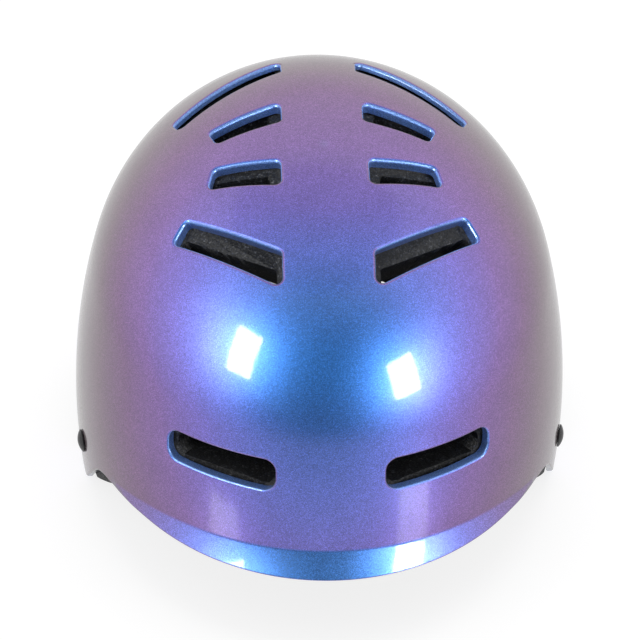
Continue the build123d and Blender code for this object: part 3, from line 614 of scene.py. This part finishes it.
studioForm = {
    "white": 1.0, "dim": 0.2, "dimToward": (0.0, -0.98, 0.2), "roof": 0.5, "roofToward": (-0.03, 0.3, 0.95),
    "floorHalf": 6000.0, "floorTone": 0.93, "floorGlow": 0.83, "floorGloss": 0.62, "floorShade": 0.25,
    # place, reach and edge of the painted shadow under the head room
    "shadeMiddle": 12.0, "shadeReach": (95.0, 108.0, 1e6), "shadeEdge": ((0.78, 0.0), (0.97, 1.0)),
    "camera": (-101.65, -2111.54, 1829.28), "right": (0.99927626, -0.03458919, 0.01582887),
    "up": (0.01006308, 0.64167713, 0.76690886), "lens": 347.6, "shift": (0.00189, 0.01773),
}
softboxes = [  # seen in the clear coat: middle direction, distance, size across and up, radiance
    {"from": (-37.1, -95.9, 129.9), "toward": (-0.681, -0.488, 0.545), "away": 1300.0,
     "size": (315.0, 570.0), "roll": 10.0, "radiance": 26.0},
    {"from": (31.2, -104.6, 122.9), "toward": (0.66, -0.641, 0.393), "away": 1300.0,
     "size": (345.0, 510.0), "roll": -4.0, "radiance": 26.0},
]
overheadForm = {"place": (100.0, 300.0, 2200.0), "away": (0.05, 0.14, 1.0), "size": (1600.0, 1200.0),
                "energy": 14.0}


def addLamp(name, size, energy, place, away, roll=0.0):
    light = bpy.data.lights.new(name, "AREA")
    light.shape = "RECTANGLE"
    light.size, light.size_y = size[0] * mm, size[1] * mm
    light.energy = energy
    lamp = addObject(name, light)
    lamp.location = place * mm
    turn = away.to_track_quat("Z", "Y").to_matrix()
    lamp.rotation_euler = (turn @ Matrix.Rotation(radians(roll), 3, "Z")).to_euler()
    return lamp


def makeStage():
    form = studioForm
    world = bpy.data.worlds.new("studio")
    bpy.context.scene.world = world
    world.use_nodes = True
    look = Nodes(world.node_tree)

    def facing(key):
        direction = look.node("TexCoord", "Generated")
        return look.vector("DOT_PRODUCT", direction, Vector(form[key]).normalized(), "Value")

    dim, white = form["dim"], form["white"]
    level = look.ramp(facing("dimToward"), (0.0, white), (0.25, white * 0.9), (0.75, dim), (1.0, dim * 0.8))
    level = look.times(level, look.ramp(facing("roofToward"), (0.865, 1.0), (0.895, form["roof"])))
    seen = look.node("LightPath", "Is Camera Ray")
    look.put(look.tree.nodes["Background"].inputs["Color"], look.mix(seen, level, (1, 1, 1, 1)))
    maker = MeshMaker()
    half = form["floorHalf"]
    corners = [(x * half, y * half, 0) for x, y in ((-1, -1), (1, -1), (1, 1), (-1, 1))]
    maker.cap(maker.add(corners, [upward] * 4))
    floor = maker.build("studioFloor")
    floor.location.z = -0.02 * mm
    floor.data.materials.append(makePaper())
    for number, box in enumerate(softboxes):
        toward = Vector(box["toward"]).normalized()
        energy = box["radiance"] * pi * box["size"][0] * box["size"][1] * mm ** 2
        lamp = addLamp("softbox%d" % (number + 1), box["size"], energy,
                       Vector(box["from"]) + toward * box["away"], toward, box["roll"])
        lamp.visible_diffuse = False
    lamp = addLamp("overhead", overheadForm["size"], overheadForm["energy"], Vector(overheadForm["place"]),
                   Vector(overheadForm["away"]))
    lamp.visible_glossy = False
    print("stage built")


def makePaper():  # the floor: white to the camera, dimmer in reflections, with a painted shadow under the head room where its glow is taken away
    form, look = studioForm, Surface("palePaper")
    tone, shade = form["floorTone"], form["floorShade"]
    # painted shadow: the glow fades out in an ellipse under the helmet
    spot = look.vector("ADD", look.place(), (0.0, -form["shadeMiddle"] * mm, 0.0))
    spot = look.vector("MULTIPLY", spot, tuple(1 / (part * mm) for part in form["shadeReach"]))
    outsidePaintedShadow = look.ramp(look.vector("LENGTH", spot, output="Value"), *form["shadeEdge"])
    camera, glossy, through = [look.node("LightPath", "Is %s Ray" % kind)
                               for kind in ("Camera", "Glossy", "Transmission")]
    watched = look.maths("MAXIMUM", look.maths("MAXIMUM", camera, glossy), through)
    glow = look.maths("ADD", look.maths("MULTIPLY", camera, form["floorGlow"]),
                      look.maths("MULTIPLY", glossy, form["floorGloss"]))
    paper = look.ramp(look.noise(300.0, 3.0), (0.3, tone - 0.005), (0.7, tone + 0.005))
    return look.finish(base=look.mix(watched, paper, (shade, shade, shade, 1)), roughness=0.9, specular=0.0,
                       coat=glossy, coatRoughness=0.1, coatIor=1.6, glow=(1, 1, 1, 1),
                       glowStrength=look.maths("MULTIPLY", outsidePaintedShadow, glow))


def makeCamera():
    camera = bpy.data.cameras.new("photoView")
    camera.sensor_width, camera.lens = 36.0, studioForm["lens"]
    camera.shift_x, camera.shift_y = studioForm["shift"]
    camera.clip_start, camera.clip_end = 0.1, 50.0
    view = addObject("photoView", camera)
    right, up = Vector(studioForm["right"]), Vector(studioForm["up"])
    turn = Matrix((right, up, right.cross(up))).transposed()
    view.matrix_world = Matrix.Translation(Vector(studioForm["camera"]) * mm) @ turn.to_4x4()
    scene = bpy.context.scene
    scene.camera = view
    scene.view_settings.view_transform = "Standard"


linerForm = {"gap": 0.3, "seat": 5.0, "side": 22.0, "front": 23.0, "rear": 24.0, "crown": 25.0}
padForm = {
    "gap": 1.5, "thickness": 7.0, "edge": 1.6, "startShare": 0.62, "cell": 2.6, "rows": 12,
    "pressure": 5.0, "cap": 6.0, "frames": 20, "seamRadius": 0.7, "stitch": 2.3, "stitchGap": 1.0,
    "threadRadius": 0.28, "stiffness": 12.0, "bending": 0.4, "mass": 0.2,
}
padPlaces = {  # wall pads: middle and spread in degrees, lowest and highest edge, channels as shares
    "brow_pad": {"middle": 0.0, "spread": 48.0, "low": 45.0, "high": 73.0, "channels": (-0.35, 0.35)},
    "nape_pad": {"middle": 180.0, "spread": 40.0, "low": 22.0, "high": 52.0, "channels": (0.0,)},
    "right_side_pad": {"middle": 90.0, "spread": 25.0, "low": 50.0, "high": 86.0, "channels": (0.0,)},
    "left_side_pad": {"middle": 270.0, "spread": 25.0, "low": 50.0, "high": 86.0, "channels": (0.0,)},
}
crownPlace = {"halfWidth": 18.0, "halfLength": 46.0, "channels": (-0.3, 0.3)}

linerDome = insetDome(outerDome, shellForm["wall"] + linerForm["gap"])
linerWidth = linerDome["width"]
headDome = makeDome(linerWidth - linerForm["side"], linerWidth * linerDome["front"] - linerForm["front"],
                    linerWidth * linerDome["rear"] - linerForm["rear"],
                    linerDome["crown"] - linerForm["crown"], linerDome["radii"][0] - linerForm["side"])


def wallSpot(angle, height, depth):  # a place in the head room at a true plan angle, a depth off the foam
    dome = insetDome(headDome, depth)
    across, along = sin(radians(angle)), -cos(radians(angle))
    reach = float(profileAt(dome, heightToTilt(dome, np.array(height)))[0])
    reach /= hypot(across, along / stretchAt(dome, along))
    return Vector((across * reach, along * reach, height))


def crownSpot(across, along, depth):  # a place under the foam of the crown
    reach = hypot(across, along / stretchAt(headDome, along))
    (x, z), radius = headDome["centres"][2], headDome["radii"][2]
    if reach - x > radius * cos(headDome["limits"][1]):
        (x, z), radius = headDome["centres"][1], headDome["radii"][1]
    return Vector((across, along, z + sqrt(radius ** 2 - (reach - x) ** 2) - depth))


def endShare(along):  # how much of a pad's width is left toward its rounded ends
    beyond = max(0.0, (abs(along) - 0.72) / 0.28)
    return 1 - 0.5 * beyond ** 2.6


def padSurface(name):  # a function that places a share along, a share across and a depth
    if name == "crown_pad":
        form = crownPlace
        length = 2 * form["halfLength"]

        def place(along, across, depth):
            width = form["halfWidth"] * endShare(along) * across
            return crownSpot(width, form["halfLength"] * along, padForm["gap"] + depth)
    else:
        form = padPlaces[name]
        first, second = [wallSpot(form["middle"] + angle, form["low"], 0) for angle in (0, 2)]
        length = (first - second).length * form["spread"]

        def place(along, across, depth):
            height = (form["low"] + form["high"]) / 2
            height += (form["high"] - form["low"]) / 2 * endShare(along) * across
            return wallSpot(form["middle"] + form["spread"] * along, height, padForm["gap"] + depth)
    return place, form["channels"], length


def padFullness(along, across, channels):
    full = (1 - abs(along) ** 6) ** 0.5 * (1 - abs(across) ** 3.2) ** 0.5
    for channel in channels:
        full *= min(1.0, 0.3 + (abs(along - channel) / 0.06) ** 0.8)
    return full


def makePad(name):
    place, channels, length = padSurface(name)
    columns = 2 * int(length / padForm["cell"] / 2)
    rows = padForm["rows"]
    alongs = [2 * i / columns - 1 for i in range(columns + 1)]
    for channel in channels:
        alongs[min(range(columns + 1), key=lambda i: abs(alongs[i] - channel))] = channel
    shares = [2 * k / rows - 1 for k in range(rows + 1)]
    acrosses = [sin(pi / 2 * share) * 0.5 + share * 0.5 for share in shares]
    edge, tall = padForm["edge"], padForm["thickness"]
    spots, faces, held, number = [], [], [], {}
    for side in (0, 1):
        for i, along in enumerate(alongs):
            for k, across in enumerate(acrosses):
                border = i in (0, columns) or k in (0, rows)
                if border and side:
                    number[side, i, k] = number[0, i, k]
                    continue
                depth = edge / 2 if border else 0.0
                if side:
                    fullness = padForm["startShare"] * padFullness(along, across, channels)
                    depth = edge + (tall - edge) * fullness
                number[side, i, k] = len(spots)
                spots.append(place(along, across, depth))
                if border or not side or along in channels:
                    held.append(number[side, i, k])
    for side, i, k in ((side, i, k) for side in (0, 1) for i in range(columns) for k in range(rows)):
        face = [number[side, a, b] for a, b in ((i, k), (i + 1, k), (i + 1, k + 1), (i, k + 1))]
        faces.append(face if side else face[::-1])
    mesh = bpy.data.meshes.new(name + "Cushion")
    mesh.from_pydata([spot * mm for spot in spots], [], faces)
    faceOutward(mesh)
    pad = addObject(name + "Cushion", mesh)
    swell(pad, held)
    smoother = pad.modifiers.new("subdivision", "SUBSURF")
    smoother.levels = smoother.render_levels = 1
    applyModifiers(pad)
    pad.data.polygons.foreach_set("use_smooth", [True] * len(pad.data.polygons))
    around = [(along, -1) for along in alongs] + [(1, across) for across in acrosses[1:]]
    around += [(along, 1) for along in alongs[-2::-1]] + [(-1, across) for across in acrosses[-2:0:-1]]
    trim = TubeMaker()
    trim.tube([place(*spot, edge / 2) for spot in around], padForm["seamRadius"], closed=True)
    for channel in channels:
        line = [place(channel, across, 0) for across in acrosses]
        top = surfaceAlong(pad, line, place(channel, 0, 0) - place(channel, 0, tall))
        trim.stitches(top, padForm["stitch"], padForm["stitchGap"], padForm["threadRadius"])
    return pad, trim.build(name + "Seams")


def swell(pad, held):  # inflates a cushion between its seams
    start = [v.co.copy() for v in pad.data.vertices]
    group = pad.vertex_groups.new(name="held")
    group.add(held, 1.0, "REPLACE")
    cloth = pad.modifiers.new("Cloth", "CLOTH")
    settings = cloth.settings
    settings.vertex_group_mass = "held"
    settings.use_pressure, settings.uniform_pressure_force = True, padForm["pressure"]
    settings.effector_weights.gravity = 0.0
    settings.tension_stiffness = settings.compression_stiffness = padForm["stiffness"]
    settings.bending_stiffness, settings.mass = padForm["bending"], padForm["mass"]
    cloth.point_cache.frame_start, cloth.point_cache.frame_end = 1, padForm["frames"]
    scene = bpy.context.scene
    for frameNumber in range(1, padForm["frames"] + 1):
        scene.frame_set(frameNumber)
    applyModifiers(pad)
    scene.frame_set(1)
    cap = padForm["cap"] * mm
    for vertex, spot in zip(pad.data.vertices, start):
        moved = vertex.co - spot
        if moved.length > cap:
            vertex.co = spot + moved * (cap / moved.length)


def applyModifiers(piece):
    mesh = bpy.data.meshes.new_from_object(piece.evaluated_get(bpy.context.evaluated_depsgraph_get()))
    old, piece.data = piece.data, mesh
    piece.modifiers.clear()
    mesh.name = piece.name
    bpy.data.meshes.remove(old)


def surfaceAlong(piece, line, away):  # drops places onto a piece, from the side that away comes from
    away = away.normalized()
    found = []
    for spot in line:
        hit, place, normal, index = piece.ray_cast((spot - away * 30) * mm, away)
        found.append(place / mm - away * 0.1 if hit else spot)
    return found


class TubeMaker(MeshMaker):  # round threads, seams and cords along places
    def tube(self, places, radius, closed=False, sides=6):
        count = len(places)
        rings = []
        for i, spot in enumerate(places):
            after = places[(i + 1) % count] if closed or i < count - 1 else spot
            before = places[i - 1] if closed or i else spot
            ahead = (after - before).normalized()
            across = ahead.cross(upward if abs(ahead.z) < 0.9 else rightward).normalized()
            rise = across.cross(ahead)
            end = not closed and i in (0, count - 1)
            size = radius * (0.45 if end else 1.0)
            turns = [2 * pi * k / sides for k in range(sides)]
            normals = [across * cos(t) + rise * sin(t) for t in turns]
            rings.append(self.add([spot + n * size for n in normals], normals))
        for i in range(count if closed else count - 1):
            self.band(rings[i], rings[(i + 1) % count])
        if not closed:
            self.cap(rings[0])
            self.cap(rings[-1])

    def stitches(self, line, length, gap, radius):
        runs = [0.0]
        for first, second in zip(line, line[1:]):
            runs.append(runs[-1] + (second - first).length)
        place = gap
        while place + length < runs[-1]:
            shares = (0, 0.15, 0.5, 0.85, 1)
            self.tube([alongLine(line, runs, place + length * share) for share in shares], radius)
            place += length + gap


def alongLine(line, runs, run):
    index = max(i for i, start in enumerate(runs[:-1]) if start <= run)
    share = (run - runs[index]) / (runs[index + 1] - runs[index])
    return line[index].lerp(line[index + 1], share)


strapForm = {
    "width": 15.0, "thickness": 1.5, "layerGap": 0.2, "floorGap": 0.35, "inset": 2.6, "foldRadius": 3.0,
    "end": 9.0, "loopGap": 0.25, "dropAngle": 50.0, "dropRadius": 2.5, "tail": 9.0, "sectionStep": 1.4,
}
anchorForm = {  # distance along Y, height, lean of the webbing in degrees, whether it leans forward
    "front": {"along": -29.0, "height": 23.5, "lean": 32.0, "forward": False},
    "rear": {"along": 78.0, "height": 24.0, "lean": 25.0, "forward": True},
}
dividerForm = {
    "spot": (58.152, 25.104), "thickness": 2.4, "bar": 3.0, "slot": 3.2, "reach": 12.5, "chinReach": 8.0,
}
chinForm = {
    "rise": 36.955, "riseRadius": 4.0, "topRadius": 5.0, "buckleHeight": 45.0, "buckleEnd": 21.0,
    "buckleBar": 3.0, "barThickness": 2.4, "keeperHeight": 25.0, "chinTail": 6.0, "socketTail": 4.0,
    "plugTail": 24.0,
}
thick, layerGap = strapForm["thickness"], strapForm["layerGap"]
floorHeight = strapForm["floorGap"] + thick / 2


def turned(vector, axis, angle):
    return Matrix.Rotation(radians(angle), 3, axis) @ vector


def anchorPlace(name):  # on the right side: rivet place, outward normal, fall of the webbing, fold axis
    form = anchorForm[name]
    tilt = float(heightToTilt(outerDome, np.array(form["height"])))
    reach = float(profileAt(outerDome, np.array(tilt))[0])
    turn = acos(-form["along"] / (reach * stretchAt(outerDome, form["along"])))
    spot, normal = [Vector(part) for part in domeSpot(outerDome, np.array(turn), np.array(tilt))]
    rearward = upward.cross(normal).normalized()
    side = -rearward if form["forward"] else rearward
    lean = radians(form["lean"])
    return spot, normal, rearward.cross(normal) * cos(lean) + side * sin(lean), side


class Walk:  # flat webbing laid down as straight runs and turns
    def __init__(self, spot, direction, normal):
        self.spot, self.direction, self.normal = spot.copy(), direction.normalized(), normal.normalized()
        self.run, self.sections = 0.0, []
        self.mark(self.across())

    def across(self):
        return self.normal.cross(self.direction) * (strapForm["width"] / 2)

    def mark(self, half):
        self.sections.append((self.run, self.spot.copy(), half.copy(), self.normal.copy()))

    def straight(self, length):
        count = max(1, int(length / strapForm["sectionStep"] / 2))
        for _ in range(count):
            self.spot += self.direction * (length / count)
            self.run += length / count
            self.mark(self.across())

    def turn(self, radius, angle, side):
        self.fold(radius, angle, self.direction.cross(self.normal) * side)

    def fold(self, radius, angle, axis):
        along = self.direction.dot(axis)
        flat = self.direction - axis * along
        centre = self.spot + axis.cross(flat).normalized() * radius
        half = axis * (strapForm["width"] / 2 / flat.length)
        half = half if half.dot(self.across()) > 0 else -half
        steps = max(4, int(radius * radians(angle) / strapForm["sectionStep"] * 2))
        step = angle / steps
        shift = axis * (radius * radians(step) * along / flat.length)
        for _ in range(steps):
            arm = turned(self.spot - centre, axis, step)
            centre = centre + shift
            self.run += radius * radians(step)
            self.spot = centre + arm
            self.direction = turned(self.direction, axis, step)
            self.normal = turned(self.normal, axis, step)
            self.mark(half)

    def loop(self, side, bar, barThickness):
        radius = (barThickness + thick) / 2 + strapForm["loopGap"]
        small, angle = strapForm["dropRadius"], strapForm["dropAngle"]
        self.turn(radius, 180, side)
        self.straight(bar)
        drop = 2 * radius - thick - layerGap - 2 * small * (1 - cos(radians(angle)))
        self.turn(small, angle, side)
        self.straight(drop / sin(radians(angle)))
        self.turn(small, angle, -side)

    def joined(self, other):  # this walk backwards, then one that starts at the same place
        back = [(-run, spot, -half, normal) for run, spot, half, normal in self.sections[:0:-1]]
        return back + other.sections


def legWalk(name):
    spot, normal, down, side = anchorPlace(name)
    fold = (thick + layerGap) / 2
    webbing = spot - normal * (shellForm["wall"] + strapForm["inset"] + thick / 2)
    leg = Walk(webbing + normal * (2 * fold) + down * strapForm["end"], -down, -normal)
    leg.straight(2 * strapForm["end"])
    leg.turn(fold, 180, 1)
    radius = strapForm["foldRadius"] + thick / 2
    leg.straight((leg.spot.z - (floorHeight + radius + radius * normal.z)) / -down.z)
    axis = side if side.dot(leg.normal.cross(leg.direction)) > 0 else -side
    leg.fold(radius, 90 + degrees(asin(normal.z)), axis)
    target = Vector((*dividerForm["spot"], leg.spot.z))
    leg.straight((target - leg.spot).length - dividerForm["reach"] - dividerForm["slot"] / 2)
    leg.loop(-1, dividerForm["bar"], dividerForm["thickness"])
    leg.straight(strapForm["tail"])
    return leg.sections


def chinWalk(loose):
    form = chinForm
    start = Vector((form["rise"], dividerForm["spot"][1], form["keeperHeight"]))
    edge = dividerForm["spot"][0] - dividerForm["chinReach"] - dividerForm["slot"] / 2
    down = Walk(start, -upward, rightward)
    down.straight(start.z - floorHeight - form["riseRadius"])
    down.turn(form["riseRadius"], 90, 1)
    down.straight(edge - down.spot.x)
    down.loop(1, dividerForm["bar"], dividerForm["thickness"])
    down.turn(form["riseRadius"] - thick - layerGap, 90, -1)
    down.straight(form["chinTail"])
    up = Walk(start, upward, rightward)
    under = form["buckleHeight"] - (form["barThickness"] + thick) / 2 - strapForm["loopGap"]
    up.straight(under - form["topRadius"] - start.z)
    up.turn(form["topRadius"], 90, -1)
    corner = up.spot.x
    up.straight(corner - (form["buckleEnd"] - form["buckleBar"]))
    up.loop(1, form["buckleBar"], form["barThickness"])
    if loose:
        up.straight(corner - up.spot.x)
        up.turn(form["topRadius"] + thick + layerGap, 90, 1)
        up.straight(form["plugTail"])
    else:
        up.straight(form["socketTail"])
    return down.joined(up)


def makeWebbing(name, sections, mirrored):
    profile = []  # share of the half width, share of the half thickness, across and up parts of the normal
    for sign in (1, -1):
        for share in (0.94, 0.8, 0.4, 0.0, -0.4, -0.8, -0.94):
            height = 0.93 if abs(share) < 0.9 else 0.8
            profile.append((share * sign, sign * height, 0.15 * share * sign, sign))
        profile.append((-sign, 0.0, -sign, 0))
    maker = MeshMaker()
    rings, flip = [], -1 if mirrored else 1
    low = sections[0][0]
    for run, spot, half, normal in sections:
        places = [spot + half * a + normal * (thick / 2 * b) for a, b, c, d in profile]
        normals = [half.normalized() * c + normal * d for a, b, c, d in profile]
        for vector in places + normals:
            vector.x *= flip
        rings.append(maker.add(places, normals))
    for first, second in zip(rings, rings[1:]):
        maker.band(first, second)
    maker.cap(rings[0])
    maker.cap(rings[-1])
    piece = maker.build(name)
    layer = piece.data.uv_layers.new(name="along")
    for loop in piece.data.loops:
        ring, corner = divmod(loop.vertex_index, len(profile))
        across = profile[corner][0] * strapForm["width"] / 2
        layer.data[loop.index].uv = ((sections[ring][0] - low) * mm * 100, across * mm * 100)
    return piece


def makeFoam():
    look = Surface("beadFoam")
    edges = look.cells(620.0, "Distance", "DISTANCE_TO_EDGE")
    bead = look.red(look.cells(620.0, "Color"))
    base = look.ramp(bead, (0.0, 25, 26, 27), (0.75, 38, 39, 40), (1.0, 66, 66, 66))
    base = look.times(base, look.ramp(edges, (0.0, 0.6), (0.12, 1.0)))
    base = look.times(base, look.ramp(look.noise(1250.0, 3.0), (0.4, 0.55), (0.54, 1.0), (0.66, 4.5)))
    base = look.times(base, look.ramp(look.noise(70.0, 2.0), (0.3, 0.85), (0.7, 1.15)))
    height = look.ramp(edges, (0.0, 0.0), (0.25, 1.0), mode="EASE")
    return look.finish(base=base, roughness=0.62, specular=0.4, normal=look.bump(height, 0.6, 0.00025))


def makePadFabric():
    look = Surface("padKnit")
    loops = look.cells(1150.0, "Distance", Randomness=0.25)
    base = look.ramp(loops, (0.0, 62, 64, 70), (0.5, 40, 42, 47), (0.9, 16, 17, 20))
    base = look.times(base, look.ramp(look.noise(55.0, 3.0), (0.3, 0.85), (0.7, 1.12)))
    height = look.ramp(loops, (0.0, 1.0), (0.9, 0.0), mode="EASE")
    return look.finish(base=base, roughness=0.86, specular=0.25, sheen=0.35, sheenRoughness=0.4,
                       normal=look.bump(height, 0.7, 0.0004))


def makeThread():
    look = Surface("seamThread")
    twist = look.wave(look.place(), 900.0, "DIAGONAL", Distortion=1.0)
    return look.finish(base=look.ramp(twist, (0.0, 30, 31, 35), (1.0, 74, 76, 84)), roughness=0.7,
                       normal=look.bump(twist, 0.5, 0.0001))


def makeWebbingFabric():
    look = Surface("ribbedWebbing")
    uv = look.node("UVMap", "UV", uv_map="along")
    across = look.node("SeparateXYZ", "Y", {"Vector": uv})
    columns = look.maths("MULTIPLY", look.wave(uv, 3.4, "Y"), 0.6)
    weave = look.maths("MULTIPLY", look.wave(uv, 6.0, "X", Distortion=0.2, Detail=1.0),
                       look.maths("ADD", columns, 0.4))
    selvedge = look.ramp(look.maths("ABSOLUTE", across), (0.55, 1.0), (0.62, 0.55), (0.66, 1.1))
    base = look.ramp(weave, (0.0, 14, 15, 17), (0.5, 34, 35, 39), (1.0, 58, 60, 66))
    fuzz = look.ramp(look.noise(500.0, 4.0), (0.3, 0.85), (0.7, 1.15))
    base = look.times(look.times(base, selvedge), fuzz)
    return look.finish(base=base, roughness=0.72, specular=0.35, sheen=0.25, sheenRoughness=0.5,
                       normal=look.bump(weave, 0.8, 0.00035))


def makeHookTape():
    look = Surface("hookTape")
    hooks = look.cells(900.0, "Distance", Randomness=0.15)
    height = look.ramp(hooks, (0.0, 1.0), (0.7, 0.0))
    return look.finish(base=look.ramp(hooks, (0.0, 84, 86, 90), (0.6, 22, 23, 25)), roughness=0.6,
                       normal=look.bump(height, 0.9, 0.0006))


def carryNodes(material, *names):  # frame pieces keep their form and get a material
    for name in names:
        cadPieces[name].data.materials.clear()
        cadPieces[name].data.materials.append(material)


def clearSlots(liner):  # sinks a seat in the foam for each flange of the shell
    maker = MeshMaker()
    growth, deep = shellForm["flangeWall"] + linerForm["gap"], linerForm["seat"] + linerForm["gap"]
    for vent in ventForms:
        for side in (1, -1):
            loops = [maker.add(*ventRing(vent, side, growth, depth)[:2]) for depth in (-8.0, deep)]
            maker.band(*loops)
            for loop in loops:
                maker.cap(loop)
    cutter = maker.build("slotCutter")
    cut = liner.modifiers.new("slots", "BOOLEAN")
    cut.operation, cut.object, cut.solver = "DIFFERENCE", cutter, "EXACT"
    cutter.hide_render = True


def placePiece(piece, body, slot, material, *replaced):
    piece.data.materials.append(material)
    if body:
        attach(piece, body)
    if replaced:
        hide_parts(*replaced)


makeStage()
makeCamera()

shell = makeShell()
shell.data.materials.append(makePaint("flakePaint"))
shell.data.materials.append(makePlastic("shellPlastic", (26, 27, 30), (38, 39, 43), (0.42, 0.6),
                                        (900.0, 4.0), 45.0, (0.3, 0.0001)))
placePiece(shell, "helmet", "flake_paint", makePaint("slotPaint"), "outer_shell")
print("shell built,", len(shell.data.polygons), "faces")

carryNodes(makeFoam(), "foam_liner")
clearSlots(cadPieces["foam_liner"])
carryNodes(makeHookTape(), "pad_hook_dots")
knit, thread = makePadFabric(), makeThread()
for name in ("brow_pad", "nape_pad", "left_side_pad", "right_side_pad", "crown_pad"):
    cushion, seam = makePad(name)
    placePiece(cushion, "helmet", "pad_fabric", knit, name)
    placePiece(seam, "helmet", "pad_fabric", thread)
print("pads built")

webbing = makeWebbingFabric()
for name in ("front", "rear"):
    walk = legWalk(name)
    for side, mirrored in (("right", False), ("left", True)):
        leg = makeWebbing(side + name.capitalize() + "Leg", walk, mirrored)
        placePiece(leg, "helmet", "webbing", webbing, "%s_%s_strap" % (side, name))
socketStrap = makeWebbing("leftChinWebbing", chinWalk(False), True)
placePiece(socketStrap, "helmet", "webbing", webbing, "left_chin_strap")
plugStrap = makeWebbing("rightChinWebbing", chinWalk(True), False)
placePiece(plugStrap, None, "webbing", webbing, "right_chin_strap")
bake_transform(plugStrap)
print("webbing laid")

carryNodes(makePlastic("mouldedNylon", (22, 23, 25), (34, 35, 38), (0.37, 0.53), (1400.0, 5.0), 90.0,
                       (0.35, 0.00008)),
           "buckle_socket", "buckle_plug", "front_latch_arm", "rear_latch_arm", "strap_keeper",
           "left_strap_divider", "right_strap_divider")
carryNodes(makePlastic("rivetLacquer", (16, 16, 18), (26, 26, 29), (0.22, 0.38), (900.0, 5.0), 90.0,
                       (0.35, 0.00005)), "front_strap_rivets", "rear_strap_rivets")
carryNodes(makePlastic("washerSteel", (150, 152, 156), (186, 188, 192), (0.28, 0.44), (1500.0, 3.0), 160.0,
                       (0.25, 0.00005), metallic=1.0), "front_rivet_washers", "rear_rivet_washers")
print("fittings finished")
